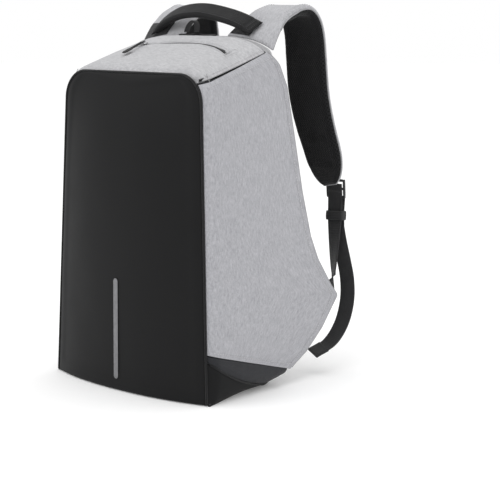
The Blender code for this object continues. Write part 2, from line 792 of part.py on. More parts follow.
def make_web(side, label):
    """Lower webbing, its ladder lock, keeper, free tail and the tab sewn behind the wing."""
    pivot = strap_pivot(side)
    ribbon(f"strap_webbing_{label}", BLACK_WEB, WEB_PATH, side, 8, 1,
           lambda t: WEB_WIDTH * (1 - 0.35 * smooth((t - 0.6) / 0.4)), WEB_THICK, 0.0, pivot)
    ribbon(f"tail_fold_{label}", BLACK_WEB, FOLD_PATH, side, 4, 1, lambda t: WEB_WIDTH, WEB_THICK, 0.0, pivot)
    make_ladder_lock(side, label)
    centre, tangent, across, normal = ribbon_frame(WEB_PATH, KEEPER_PLACE, side)
    turn = Matrix((across, normal, -tangent)).transposed()
    make_keeper(f"strap_keeper_{label}", centre, turn)
    tail_pivot = Vector((side * TAIL_PATH[0][0], TAIL_PATH[0][1], TAIL_PATH[0][2]))
    ribbon(f"strap_tail_{label}", BLACK_WEB, TAIL_PATH, side, 14, 1, lambda t: WEB_WIDTH, WEB_THICK, 0.0,
           tail_pivot)
    make_tab(side, label)


def make_ladder_lock(side, label):
    """The buckle: a frame with two windows and a middle bar, hung from its upper bar."""
    turn = Matrix.Rotation(0.06, 3, "X")
    middle = Vector((side * 0.1230, 0.2778, LOCK_Z))
    pivot = middle + turn @ Vector((0, 0, 0.0110))
    body = box(f"ladder_lock_{label}", BLACK_PLASTIC, (0.032, 0.0045, 0.026), middle, turn, pivot, 0.0015)
    for up in (-0.0060, 0.0058):
        window = box("window_cutter", BLACK_PLASTIC, (0.0262, 0.02, 0.0062), middle + turn @ Vector((0, 0, up)),
                     turn, pivot)
        cut(body, window)


def make_keeper(name, centre, turn):
    """A flat ring of webbing round the strap's webbing and its tail."""
    lift = turn @ Vector((0, 0.0024, 0))
    ring = box(name, BLACK_WEB, (0.0300, 0.0124, 0.0130), centre + lift, turn, centre, 0.0025)
    hole = box("keeper_cutter", BLACK_WEB, (0.0270, 0.0096, 0.0300), centre + lift, turn, centre)
    cut(ring, hole)


def make_tab(side, label):
    """The triangle of webbing from the back panel's edge, behind the wing, to the strap."""
    root_low = Vector((0.1330, 0.1840, 0.0600))
    root_high = Vector((0.1320, 0.1860, 0.1020))
    tip_low = Vector((0.1375, 0.2575, 0.1110))
    tip_high = Vector((0.1350, 0.2560, 0.1320))

    def point(u, v):
        share = v if side > 0 else 1 - v
        low = root_low.lerp(tip_low, u)
        high = root_high.lerp(tip_high, u)
        place = low.lerp(high, share)
        return side * place.x, place.y, place.z

    sheet(f"strap_tab_{label}", BLACK_WEB, 8, 3, point, 0.0024, 0.0)


# ---- handle, loop and port ---------------------------------------------------------------


def make_handle():
    pivot = Vector((0.0, 0.1510, 0.4700))

    def point(u, v):
        place = Vector(spline(HANDLE_PATH, u))
        before = Vector(spline(HANDLE_PATH, max(u - 0.01, 0.0)))
        after = Vector(spline(HANDLE_PATH, min(u + 0.01, 1.0)))
        tangent = (after - before).normalized()
        lean = Vector((0.0, 0.80, 0.60))
        across = (lean - tangent * lean.dot(tangent)).normalized()
        width = 0.014 + 0.012 * smooth(min(u, 1 - u) / 0.18)
        return place + across * (width * (v - 0.5))

    sheet("carry_handle", BLACK_PADDED, 18, 2, point, 0.0085, 0.0, None, pivot, 0.0022)


def make_hang_loop():
    pivot = Vector((-0.028, 0.1480, 0.4645))

    def point(u, v):
        angle = pi * u
        place = pivot + Vector((0.010 * cos(angle), 0.005 * sin(angle), 0.015 * sin(angle)))
        return place + Vector((0, 0.009 * (v - 0.5), 0))

    sheet("hang_loop", BLACK_WEB, 10, 1, point, 0.0016, 0.0, None, pivot)


def make_port():
    """The charging port on the left side: a frame through the panel, its socket and its cover."""
    panel = bpy.data.objects["side_panel_left"]
    y = 0.080
    z = 0.230
    face = side_x(y, z)
    centre = Vector((-face, y, z))
    hole = box("port_cutter", BLACK_PLASTIC, (0.03, 0.0184, 0.0104), centre, None)
    cut(panel, hole)
    frame = box("port_frame", BLACK_PLASTIC, (0.0035, 0.0330, 0.0200), centre - Vector((0.0024, 0, 0)), None,
                (0, 0, 0), 0.0015)
    mouth = box("mouth_cutter", BLACK_PLASTIC, (0.02, 0.0150, 0.0072), centre, None)
    cut(frame, mouth)
    socket = box("usb_socket", METAL, (0.0140, 0.0146, 0.0068), centre + Vector((0.0060, 0, 0)), None)
    bore = box("bore_cutter", METAL, (0.0140, 0.0132, 0.0054), centre + Vector((0.0045, 0, 0)), None)
    cut(socket, bore)
    hinge = centre + Vector((-0.0053, 0.0, 0.0085))
    box("port_cover", RUBBER, (0.0022, 0.0260, 0.0160), hinge + Vector((-0.0001, 0, -0.0080)), None, hinge, 0.0009)


# ---- main --------------------------------------------------------------------------------

clear_scene()
PACK = bpy.data.collections.new("solar_backpack")
HELPERS = bpy.data.collections.new("helpers")
bpy.context.scene.collection.children.link(PACK)
bpy.context.scene.collection.children.link(HELPERS)

BLACK_SHELL = material("black_shell", (0.020, 0.020, 0.022), 0.45)
BLACK_TRIM = material("black_trim", (0.012, 0.012, 0.013), 0.6)
GREY_STRIP = material("reflective_grey", (0.22, 0.22, 0.23), 0.35)
GREY_FABRIC = material("grey_fabric", (0.36, 0.37, 0.39), 0.9)
DARK_FABRIC = material("dark_fabric", (0.028, 0.029, 0.032), 0.9)
DARK_LINING = material("dark_lining", (0.05, 0.05, 0.055), 0.8)
BLACK_MESH = material("black_mesh", (0.010, 0.010, 0.011), 0.95)
BLACK_WEB = material("black_webbing", (0.015, 0.015, 0.016), 0.75)
BLACK_PADDED = material("black_padded", (0.013, 0.013, 0.014), 0.8)
BLACK_PLASTIC = material("black_plastic", (0.014, 0.014, 0.015), 0.4)
METAL = material("zip_metal", (0.55, 0.55, 0.56), 0.3, 1.0)
RUBBER = material("rubber", (0.015, 0.015, 0.015), 0.7)
BOARD = material("board", (0.10, 0.10, 0.10), 0.6)

make_front_panel()
make_front_piping()
make_reflective_strip()
for SIDE, LABEL in ((-1, "left"), (1, "right")):
    make_side_panel(SIDE, LABEL)
    make_gusset(SIDE, LABEL)
    make_strap_root(SIDE, LABEL)
    make_strap(SIDE, LABEL)
    make_web(SIDE, LABEL)
make_bottom_panel()
make_base_board()
make_lid()
make_pocket_zip_tape()
make_top_pocket()
make_lid_zip()
make_main_zip()
make_back()
make_sleeve()
make_handle()
make_hang_loop()
make_port()
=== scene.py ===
"""How the daypack looks: fabric, mesh, webbing, zips and stitching, laid over the CAD model.

Metres, +Z up. Shapes are worked out with y = 0 at the front bottom edge, as the CAD source does,
and every piece is then moved by SHIFT_Y into the row frame.
"""

from math import cos, pi, sin, sqrt

import bmesh
import bpy
import numpy as np
from mathutils import Matrix, Vector


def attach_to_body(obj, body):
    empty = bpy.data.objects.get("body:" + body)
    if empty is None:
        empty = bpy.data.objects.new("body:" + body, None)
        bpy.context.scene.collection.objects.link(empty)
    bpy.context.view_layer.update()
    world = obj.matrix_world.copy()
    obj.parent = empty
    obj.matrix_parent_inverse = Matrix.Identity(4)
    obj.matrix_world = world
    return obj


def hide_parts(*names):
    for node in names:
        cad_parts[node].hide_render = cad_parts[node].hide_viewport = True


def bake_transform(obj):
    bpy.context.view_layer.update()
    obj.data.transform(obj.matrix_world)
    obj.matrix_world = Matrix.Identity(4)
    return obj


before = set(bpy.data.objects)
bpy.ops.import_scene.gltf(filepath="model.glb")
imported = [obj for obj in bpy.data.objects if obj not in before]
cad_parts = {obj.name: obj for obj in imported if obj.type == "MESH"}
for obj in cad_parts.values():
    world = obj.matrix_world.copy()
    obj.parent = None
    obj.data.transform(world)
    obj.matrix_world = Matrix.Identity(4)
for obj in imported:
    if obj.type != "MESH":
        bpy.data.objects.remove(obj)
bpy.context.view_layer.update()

SHIFT_Y = -0.1320

# Front panel: half width at the floor, taper and lean per metre of height, top corners, and the
# crown of its face, which is full at one height and fades out above it.
FRONT_HALF = 0.145
FRONT_TAPER = 0.0438
FRONT_LEAN = 0.0245
FRONT_TOP = 0.415
CORNER_RADIUS = 0.038
CORNER_START = FRONT_TOP - CORNER_RADIUS
FRONT_THICK = 0.0035
CROWN_DEPTH = 0.022
CROWN_GAIN = 0.002
CROWN_FULL_Z = 0.15
CROWN_FADE = 0.27

# Soft sides: the wing's tip, the rear ends of the lower edge, the top seam and the floor.
SIDE_BULGE = 0.010
SIDE_THICK = 0.0035
SIDE_DEPTH = 0.17
WING_TIP_Z = 0.109
REAR_FOOT_Y = 0.157
REAR_TOP_Y = 0.131
LID_CORNER_Y = 0.0125
BOTTOM_REAR_Y = 0.1515
KICK_START_Y = 0.115
CLOTH_THICK = 0.0032
SIDE_REAR_HALF = ((0.0, 0.146), (0.20, 0.146), (0.35, 0.137), (0.44, 0.131), (0.47, 0.131))
REAR_LOW = ((0.022, 0.157), (0.041, 0.190), (0.069, 0.222), (0.109, 0.254))
REAR_HIGH = (
    (0.109, 0.254), (0.125, 0.240), (0.163, 0.213), (0.197, 0.197), (0.256, 0.184),
    (0.328, 0.173), (0.395, 0.162), (0.423, 0.149), (0.441, 0.131),
)
LEAF_FRONT_Z = 0.065
LEAF_REAR_Z = 0.022
SEAM_FRONT_Z = 0.403
SEAM_REAR_Z = 0.441
SEAM_DEPTH = 0.129

# Lid.
LID_FRONT_Y = 0.0145
LID_REAR_Y = 0.1275
LID_THICK = 0.004
LID_SLIDER_X = -0.0600
LID_PULL_AWAY = (-0.15, 1.0, 0.34)
ZIP_CENTRE = (0.012, -0.140)
ZIP_RADIUS = 0.240
ZIP_LEFT_X = -0.075
ZIP_RIGHT_X = 0.103
ZIP_HALF_GAP = 0.0032

# Back panel, outer profile from the floor up to the crest at x = 0.
BACK_PROFILE = (
    (0.1515, 0.0118), (0.158, 0.024), (0.166, 0.080), (0.173, 0.160), (0.176, 0.240),
    (0.171, 0.320), (0.162, 0.390), (0.154, 0.432), (0.147, 0.452), (0.141, 0.4605),
    (0.1365, 0.4610),
)
BACK_THICK = 0.008

# Shoulder strap centre line on the right: x, y, z, width.
STRAP_PATH = (
    (0.0830, 0.146, 0.4590, 0.084), (0.0840, 0.160, 0.4700, 0.080), (0.0850, 0.176, 0.4815, 0.074),
    (0.0870, 0.1930, 0.4895, 0.069), (0.0900, 0.2085, 0.4938, 0.067), (0.0940, 0.2225, 0.4908, 0.067),
    (0.0975, 0.2320, 0.4782, 0.0675), (0.0990, 0.2370, 0.4590, 0.068), (0.1000, 0.2395, 0.4280, 0.069),
    (0.1015, 0.2430, 0.3850, 0.069), (0.1060, 0.2500, 0.3440, 0.067), (0.1140, 0.2580, 0.3040, 0.063),
    (0.1225, 0.2660, 0.2580, 0.057),
)
STRAP_ROOT_END = 0.147
WEB_WIDTH = 0.025
WEB_THICK = 0.0018
WEB_PATH = (
    (0.1230, 0.2745, 0.2440), (0.1240, 0.2735, 0.2250), (0.1260, 0.2700, 0.1950),
    (0.1295, 0.2650, 0.1650), (0.1345, 0.2590, 0.1390),
)
FOLD_PATH = ((0.1235, 0.2798, 0.2360), (0.1243, 0.2776, 0.2180), (0.1260, 0.2760, 0.2012))
TAIL_PATH = (
    (0.1261, 0.2759, 0.2000), (0.1280, 0.2792, 0.1800), (0.1308, 0.2842, 0.1550),
    (0.1365, 0.2858, 0.1250), (0.1395, 0.2822, 0.0950), (0.1385, 0.2716, 0.0650),
    (0.1330, 0.2540, 0.0410), (0.1205, 0.2310, 0.0265),
)
LOCK_Z = 0.2520
KEEPER_PLACE = 0.34

HANDLE_PATH = (
    (-0.1030, 0.1515, 0.4665), (-0.0930, 0.1515, 0.4718), (-0.0700, 0.1515, 0.4840),
    (-0.0420, 0.1515, 0.4918), (-0.0050, 0.1515, 0.4932), (0.0400, 0.1515, 0.4858),
    (0.0700, 0.1512, 0.4776), (0.0890, 0.1510, 0.4708),
)


def interpolate(pairs, value):
    """Straight-line reading of a table of (position, value)."""
    if value <= pairs[0][0]:
        return pairs[0][1]
    for (x0, y0), (x1, y1) in zip(pairs, pairs[1:]):
        if value <= x1:
            return y0 + (y1 - y0) * (value - x0) / (x1 - x0)
    return pairs[-1][1]


def spline(points, t):
    """Catmull-Rom curve through points of any size, t from 0 to 1."""
    count = len(points) - 1
    place = min(max(t, 0.0), 1.0) * count
    i = min(int(place), count - 1)
    f = place - i
    p1 = points[i]
    p2 = points[i + 1]
    p0 = points[i - 1] if i > 0 else [2 * a - b for a, b in zip(p1, p2)]
    p3 = points[i + 2] if i + 2 <= count else [2 * b - a for a, b in zip(p1, p2)]
    return [
        0.5 * (2 * b + (c - a) * f + (2 * a - 5 * b + 4 * c - d) * f * f + (3 * b - a - 3 * c + d) * f ** 3)
        for a, b, c, d in zip(p0, p1, p2, p3)
    ]


def signed_power(value, power):
    """A power that keeps the sign, for outlines with full corners."""
    return abs(value) ** power * (1 if value >= 0 else -1)


def smooth(t):
    t = min(max(t, 0.0), 1.0)
    return t * t * (3 - 2 * t)


# ---- surfaces of the bag -----------------------------------------------------------------


def front_half(z):
    """Half width of the front panel's seam at height z, with the round top corners."""
    if z <= CORNER_START:
        return FRONT_HALF - FRONT_TAPER * z
    rise = min(z, FRONT_TOP) - CORNER_START
    straight = FRONT_HALF - FRONT_TAPER * CORNER_START
    return straight - CORNER_RADIUS + sqrt(max(CORNER_RADIUS ** 2 - rise ** 2, 0.0))


def front_y(x, z):
    """The crowned face of the front panel."""
    fade = 1 - (max(z - CROWN_FULL_Z, 0.0) / CROWN_FADE) ** 4
    crown = (CROWN_DEPTH + CROWN_GAIN * min(z / CROWN_FULL_Z, 1.0)) * fade
    across = min(abs(x) / max(front_half(z), 0.03), 1.0)
    return FRONT_LEAN * z - crown * (1 - across ** 2.3)


def seam_z(y):
    return SEAM_FRONT_Z + (SEAM_REAR_Z - SEAM_FRONT_Z) * min(max(y / SEAM_DEPTH, 0.0), 1.05)


def corner_radius(y):
    return CORNER_RADIUS - 0.012 * min(max(y / SEAM_DEPTH, 0.0), 1.0)


def side_x(y, z):
    """Outer face of a side panel, as a distance from the middle of the bag."""
    inset = max(y - FRONT_LEAN * z, 0.0)
    bulge = SIDE_BULGE * sin(pi / 2 * min(max(inset - 0.002, 0.0) / 0.014, 1.0))
    near = FRONT_HALF - FRONT_TAPER * z + bulge
    share = smooth(y / SIDE_DEPTH)
    width = near + (interpolate(SIDE_REAR_HALF, z) - near) * share
    width += 0.003 * sin(pi * min(y / SIDE_DEPTH, 1.0))
    radius = corner_radius(y)
    rise = z - (seam_z(y) - 0.707 * radius)
    if rise > 0:
        width -= radius - sqrt(max(radius ** 2 - rise ** 2, 0.0))
    return width


def rear_y(z):
    return interpolate(REAR_LOW, z) if z < WING_TIP_Z else interpolate(REAR_HIGH, z)


def leaf_z(y):
    """Height of the lower edge of a side panel."""
    return LEAF_FRONT_Z + (LEAF_REAR_Z - LEAF_FRONT_Z) * min(max(y / REAR_FOOT_Y, 0.0), 1.0)


def lid_half(y):
    return side_x(y, seam_z(y)) - 0.0030


def lid_z(x, y):
    """Outer face of the lid."""
    depth = min(max(y / SEAM_DEPTH, 0.0), 1.1)
    height = 0.0115 + 0.0055 * depth
    across = min(abs(x) / lid_half(y), 1.0)
    roll = 0.0045 * max(1 - (y - LID_FRONT_Y) / 0.012, 0.0) ** 2
    return seam_z(y) + 0.0030 - roll + height * (1 - across ** (6 - 2 * min(depth, 1.0)))


def back_half(z):
    return side_x(0.16, min(z, 0.432)) - SIDE_THICK - 0.0022


def back_point(x_share, t, depth=0.0):
    """A point on the back panel, or depth inside it."""
    y, z = spline(BACK_PROFILE, t)
    y0, z0 = spline(BACK_PROFILE, max(t - 0.01, 0.0))
    y1, z1 = spline(BACK_PROFILE, min(t + 0.01, 1.0))
    along = Vector((0.0, y1 - y0, z1 - z0)).normalized()
    x = x_share * back_half(z)
    drop = 0.0175 * abs(x_share) ** 4 * smooth((z - 0.37) / 0.08)
    drop -= 0.012 * abs(x_share) ** 4 * (1 - smooth((z - 0.01) / 0.07))
    return Vector((x, y - depth * along.z, z - drop + depth * along.y))


def floor_x(y):
    """Where the bottom leaves the floor, as a distance from the middle of the bag."""
    return interpolate(((0.0, 0.150), (0.03, 0.140), (0.085, 0.118), (0.15, 0.104)), y)


def floor_lift(y):
    """How far the bottom curls up off the floor towards the back."""
    return 0.010 * max((y - KICK_START_Y) / 0.04, 0.0) ** 2


def under_point(y, angle):
    """The lower flank, from a side panel's lower edge (0) down and in to the floor (90 degrees)."""
    top = leaf_z(y)
    outer = side_x(y, top)
    inner = floor_x(y)
    lift = floor_lift(y)
    return Vector((inner + (outer - inner) * cos(angle), y, lift + (top - lift) * (1 - sin(angle))))


def leaf_angle(y):
    """Where the dark gusset ends and the black bottom begins on the flank."""
    return interpolate(((0.0, 0.10), (0.02, 0.29), (0.053, 0.52), (0.10, 0.80), (0.15, 1.30)), y)


# ---- mesh tools --------------------------------------------------------------------------


def samples(length, step, fillet):
    """Shares of a length: close together near both ends, where an edge is rounded, and even between."""
    near = [0.0, 0.04 * fillet, 0.16 * fillet, 0.36 * fillet, 0.64 * fillet, fillet]
    count = max(int((length - 2 * fillet) / step), 2)
    middle = [fillet + (length - 2 * fillet) * i / count for i in range(1, count)]
    return [d / length for d in near + middle + [length - d for d in reversed(near)]]


def grid_points(us, vs, point):
    return np.array([[tuple(point(u, v)) for v in vs] for u in us])


def grid_normals(places, sign):
    along = np.gradient(places, axis=0)
    across = np.gradient(places, axis=1)
    found = np.cross(along, across) * sign
    return found / np.maximum(np.linalg.norm(found, axis=2, keepdims=True), 1e-12)


def edge_distance(places):
    """How far each point of a grid is from the nearest edge of the sheet, measured on it."""
    nearest = None
    for axis in (0, 1):
        steps = np.linalg.norm(np.diff(places, axis=axis), axis=2)
        shape = list(places.shape[:2])
        shape[axis] = 1
        run = np.concatenate([np.zeros(shape), np.cumsum(steps, axis=axis)], axis=axis)
        total = np.take(run, [-1], axis=axis)
        found = np.minimum(run, total - run)
        nearest = found if nearest is None else np.minimum(nearest, found)
    return nearest


def link_object(name, data, location=(0.0, SHIFT_Y, 0.0)):
    obj = bpy.data.objects.new(name, data)
    obj.location = location
    bpy.context.scene.collection.objects.link(obj)
    return obj


def link_mesh(name, verts, faces, uvs, slots, looks):
    """A smooth mesh object in the row frame. uvs has one pair per corner, slots one number per face."""
    mesh = bpy.data.meshes.new(name)
    mesh.from_pydata([tuple(v) for v in verts], [], faces)
    for look in looks:
        mesh.materials.append(look)
    if uvs is not None:
        mesh.uv_layers.new(name="metres").data.foreach_set("uv", np.array(uvs, np.float32).ravel())
    if slots is not None:
        mesh.polygons.foreach_set("material_index", np.array(slots, np.int32))
    mesh.shade_smooth()
    mesh.update()
    return link_object(name, mesh)


def attach(obj, body, nodes=()):
    """Ride on a body. A tuple body (a, b, start, end), in the bag's frame, is not used: the piece only has
    its transform baked in.
    """
    if isinstance(body, str):
        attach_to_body(obj, body)
    else:
        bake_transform(obj)
    if nodes:
        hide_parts(*nodes)
    return obj


def sheet_piece(name, point, size, step, thick, looks, fillet, body="shell", sign=1, nodes=(),
                relief=None, left_out=None, paint=None):
    """A closed soft sheet: an outer face from point(u, v), an inner face thick behind it, and edges
    rounded over fillet. relief(places, us, vs) lifts both faces along the outward normal, and
    paint(place) gives the number of an outer face's look."""
    us = samples(size[0], step, fillet)
    vs = samples(size[1], step, fillet)
    places = grid_points(us, vs, point)
    normals = grid_normals(places, sign)
    if callable(thick):
        depth = np.array([[thick(u, v) for v in vs] for u in us])
    else:
        depth = np.full(places.shape[:2], thick)
    inside = np.clip(1 - edge_distance(places) / fillet, 0, 1)
    drop = depth / 2 * (1 - np.sqrt(np.maximum(1 - inside ** 2, 0)))
    if relief is not None:
        raised = relief(places, np.array(us)[:, None], np.array(vs)[None, :])
        places = places + normals * np.broadcast_to(raised, places.shape[:2])[..., None]
    outer = places - normals * drop[..., None]
    inner = places - normals * (depth - drop)[..., None]
    rows, columns = places.shape[:2]
    verts = list(outer.reshape(-1, 3))
    index = np.arange(rows * columns).reshape(rows, columns)
    back = index.copy()
    for i in range(1, rows - 1):
        for j in range(1, columns - 1):
            back[i, j] = len(verts)
            verts.append(inner[i, j])
    faces, uvs, slots = [], [], []
    for i in range(rows - 1):
        for j in range(columns - 1):
            middle = places[i:i + 2, j:j + 2].reshape(-1, 3).mean(0)
            if left_out is not None and left_out(middle):
                continue
            shown = paint(middle) if paint else 0
            ring = ((i, j), (i + 1, j), (i + 1, j + 1), (i, j + 1))
            for table, number, forward in ((index, 0, sign > 0), (back, 1, sign < 0)):
                walk = ring if forward else ring[::-1]
                faces.append([int(table[a, b]) for a, b in walk])
                uvs += [(us[a] * size[0], vs[b] * size[1]) for a, b in walk]
                slots.append(shown if number == 0 else min(1, len(looks) - 1))
    obj = link_mesh(name, verts, faces, uvs, slots, looks)
    return attach(obj, body, nodes)


def sweep(name, path, outline, looks, body, up=(0, 0, 1), nodes=(), closed=False):
    """A closed outline carried along a path. An outline is a ring of (across, up) pairs, or a function
    that gives the ring at point i."""
    ring_at = outline if callable(outline) else lambda i: outline
    path = [Vector(p) for p in path]
    count = len(path)
    verts, faces, uvs = [], [], []
    run = 0.0
    runs = []
    for i, place in enumerate(path):
        ahead = path[(i + 1) % count] if closed else path[min(i + 1, count - 1)]
        behind = path[i - 1] if closed or i else path[0]
        tangent = (ahead - behind).normalized()
        side = tangent.cross(Vector(up)).normalized()
        rise = side.cross(tangent)
        run += (place - path[i - 1]).length if i else 0.0
        runs.append(run)
        for a, b in ring_at(i):
            verts.append(place + side * a + rise * b)
    first = ring_at(0)
    ring = len(first)
    girth = [0.0]
    for k in range(ring):
        a, b = first[k], first[(k + 1) % ring]
        girth.append(girth[-1] + sqrt((a[0] - b[0]) ** 2 + (a[1] - b[1]) ** 2))
    for i in range(count if closed else count - 1):
        n = (i + 1) % count
        far = runs[n] if n else run + (path[0] - path[-1]).length
        for k in range(ring):
            m = (k + 1) % ring
            faces.append([i * ring + k, i * ring + m, n * ring + m, n * ring + k])
            uvs += [(runs[i], girth[k]), (runs[i], girth[k + 1]), (far, girth[k + 1]), (far, girth[k])]
    if not closed:
        for cap in (list(range(ring))[::-1], list(range((count - 1) * ring, count * ring))):
            faces.append(cap)
            uvs += [(0.0, 0.0)] * ring
    obj = link_mesh(name, verts, faces, uvs, None, looks)
    return attach(obj, body, nodes)


def circle(radius, sides, flat=1.0):
    return [(radius * cos(2 * pi * k / sides), flat * radius * sin(2 * pi * k / sides)) for k in range(sides)]


def even_line(start, end, count):
    """Evenly spaced places from start to end, both included."""
    return [tuple(a + (b - a) * i / count for a, b in zip(start, end)) for i in range(count + 1)]


def corner_line(corners, count):
    """Evenly spaced places on the straights between corners, up to the last corner."""
    found = []
    for start, end in zip(corners, corners[1:]):
        found += even_line(start, end, count)[:-1]
    return found


def ridge(value, centre, width):
    """1 at centre, and fading to nothing on both sides of it."""
    return np.exp(-((value - centre) / width) ** 2)


def resample(points, pitch):
    """Places an even distance apart on a line."""
    points = np.array([tuple(p) for p in points])
    steps = np.linalg.norm(np.diff(points, axis=0), axis=1)
    run = np.concatenate([[0], np.cumsum(steps)])
    count = max(int(run[-1] / pitch), 1)
    at = np.linspace(0, run[-1], count + 1)
    return np.stack([np.interp(at, run, points[:, k]) for k in range(3)], axis=1)


def coil(name, path, radius, body, look, pitch=0.0011, nodes=()):
    """A zip's coil: a cord with a ridge at every tooth."""
    fine = resample(path, pitch / 4)
    swell = (0.72, 0.95, 1.0, 0.95)

    def tooth(i):
        return circle(radius * swell[i % 4], 8)

    return sweep(name, fine, tooth, [look], body, up=(0, 0, 1), nodes=nodes)


def surface_spots(point, sign, line, lift=0.0):
    """Places on a surface and the outward normal at each, from a list of (u, v)."""
    found = []
    for u, v in line:
        place = Vector(point(u, v))
        along = Vector(point(min(u + 0.004, 1.0), v)) - Vector(point(max(u - 0.004, 0.0), v))
        across = Vector(point(u, min(v + 0.004, 1.0))) - Vector(point(u, max(v - 0.004, 0.0)))
        normal = (along.cross(across) * sign).normalized()
        found.append((place + normal * lift, normal))
    return found


def stitches(name, spots, body, look, pitch=0.0040, length=0.0028, radius=0.00036):
    """Thread that shows between needle holes: one short raised dash for each stitch."""
    places = np.array([tuple(s[0]) for s in spots])
    ups = np.array([tuple(s[1]) for s in spots])
    steps = np.linalg.norm(np.diff(places, axis=0), axis=1)
    run = np.concatenate([[0], np.cumsum(steps)])
    at = np.arange(pitch / 2, run[-1], pitch)
    verts, faces = [], []
    for s in at:
        middle, ahead, up = (
            np.array([np.interp(x, run, table[:, k]) for k in range(3)])
            for x, table in ((s, places), (s + 0.0005, places), (s, ups))
        )
        if s + 0.0005 >= run[-1]:
            behind = np.array([np.interp(s - 0.0005, run, places[:, k]) for k in range(3)])
            ahead = 2 * middle - behind
        along = ahead - middle
        along /= max(np.linalg.norm(along), 1e-9)
        side = np.cross(up, along)
        side /= max(np.linalg.norm(side), 1e-9)
        up = np.cross(along, side)
        base = len(verts)
        for share, size in ((-0.5, 0.35), (-0.38, 0.85), (0.0, 1.1), (0.38, 0.85), (0.5, 0.35)):
            sink = radius * (0.2 - 0.9 * (2 * abs(share)) ** 3)
            for k in range(6):
                angle = pi * k / 3
                verts.append(middle + along * length * share + up * (sink + radius * size * sin(angle))
                             + side * radius * size * cos(angle))
        for ring in range(4):
            for k in range(6):
                a = base + ring * 6 + k
                b = base + ring * 6 + (k + 1) % 6
                faces.append([a, b, b + 6, a + 6])
        faces.append([base + k for k in range(5, -1, -1)])
        faces.append([base + 24 + k for k in range(6)])
    obj = link_mesh(name, verts, faces, None, None, [look])
    return attach(obj, body)


def stitch_line(name, point, sign, line, body, look, lift=0.0002, **size):
    """Stitches on a surface, along a list of (u, v)."""
    stitches(name, surface_spots(point, sign, line, lift), body, look, **size)


def ripple(a, b, wave, seed):
    """Smooth, repeatable unevenness between about -1 and 1 over two coordinates in metres."""
    total = 0.0
    for k in range(4):
        angle = seed * 1.7 + k * 2.1
        rate = 2 * pi / (wave * (0.62 + 0.23 * k))
        total = total + np.sin(rate * (a * cos(angle) + b * sin(angle)) + seed * 3.1 + k * 1.3)
    return total / 4


def apply_modifiers(obj):
    graph = bpy.context.evaluated_depsgraph_get()
    made = bpy.data.meshes.new_from_object(obj.evaluated_get(graph))
    obj.modifiers.clear()
    obj.data = made


# ---- materials ---------------------------------------------------------------------------


class Look:
    """A procedural material: a Principled shader, and small helpers that add nodes in front of it."""

    def __init__(self, name, roughness, metallic=0.0, sheen=0.0, specular=0.5, coat=0.0):
        self.made = bpy.data.materials.new(name)
        self.made.use_nodes = True
        self.tree = self.made.node_tree
        self.shader = self.tree.nodes["Principled BSDF"]
        self.shader.inputs["Roughness"].default_value = roughness
        self.shader.inputs["Metallic"].default_value = metallic
        self.shader.inputs["Sheen Weight"].default_value = sheen
        self.shader.inputs["Sheen Roughness"].default_value = 0.45
        self.shader.inputs["Specular IOR Level"].default_value = specular
        self.shader.inputs["Coat Weight"].default_value = coat
        self.where = self.tree.nodes.new("ShaderNodeTexCoord")

    def add(self, kind, settings=None, **values):
        node = self.tree.nodes.new(kind)
        for key, value in (settings or {}).items():
            setattr(node, key, value)
        for key, value in values.items():
            self.feed(node.inputs[int(key[1:]) if key in ("i0", "i1") else key], value)
        return node

    def feed(self, socket, value):
        if isinstance(value, bpy.types.NodeSocket):
            self.tree.links.new(value, socket)
        else:
            socket.default_value = value

    def coords(self, kind="UV", scale=(1, 1, 1), turn=0.0):
        mapping = self.add("ShaderNodeMapping", None, Vector=self.where.outputs[kind], Scale=scale,
                           Rotation=(0, 0, turn))
        return mapping.outputs["Vector"]

    def noise(self, vector, scale=1.0, detail=2.0, rough=0.5):
        return self.add("ShaderNodeTexNoise", None, Vector=vector, Scale=scale, Detail=detail,
                        Roughness=rough).outputs["Fac"]

    def streaks(self, vector, scale, detail, rough):
        """Noise that is stretched by a scale for each direction."""
        stretched = self.add("ShaderNodeMapping", None, Vector=vector, Scale=scale).outputs["Vector"]
        return self.noise(stretched, 1.0, detail, rough)

    def cells(self, vector, scale):
        """Distance from the walls between random cells."""
        return self.add("ShaderNodeTexVoronoi", {"feature": "DISTANCE_TO_EDGE"}, Vector=vector,
                        Scale=scale).outputs["Distance"]

    def bands(self, vector, period, turn=0.0):
        """Sine ridges a period apart, across the vector's X."""
        if turn:
            turned = self.add("ShaderNodeMapping", None, Vector=vector, Rotation=(0, 0, turn))
            vector = turned.outputs["Vector"]
        return self.add("ShaderNodeTexWave", {"wave_type": "BANDS", "bands_direction": "X"}, Vector=vector,
                        Scale=pi / (10 * period)).outputs["Fac"]

    def math(self, operation, a, b=0.5, clamp=False):
        settings = {"operation": operation, "use_clamp": clamp}
        return self.add("ShaderNodeMath", settings, i0=a, i1=b).outputs[0]

    def mix(self, parts):
        """A weighted sum of (value, weight)."""
        total = None
        for value, weight in parts:
            term = self.math("MULTIPLY", value, weight)
            total = term if total is None else self.math("ADD", total, term)
        return total

    def ramp(self, factor, stops):
        node = self.add("ShaderNodeValToRGB", None, Fac=factor)
        while len(node.color_ramp.elements) < len(stops):
            node.color_ramp.elements.new(0.5)
        for element, (place, colour) in zip(node.color_ramp.elements, stops):
            element.position = place
            element.color = (*colour, 1.0) if len(colour) == 3 else (colour[0],) * 3 + (1.0,)
        return node.outputs["Color"]

    def colour(self, value):
        self.feed(self.shader.inputs["Base Color"], value)
        return self

    def rough(self, value):
        self.feed(self.shader.inputs["Roughness"], value)
        return self

    def bump(self, height, distance, strength=1.0):
        node = self.add("ShaderNodeBump", None, Height=height, Distance=distance, Strength=strength)
        self.tree.links.new(node.outputs["Normal"], self.shader.inputs["Normal"])
        return self


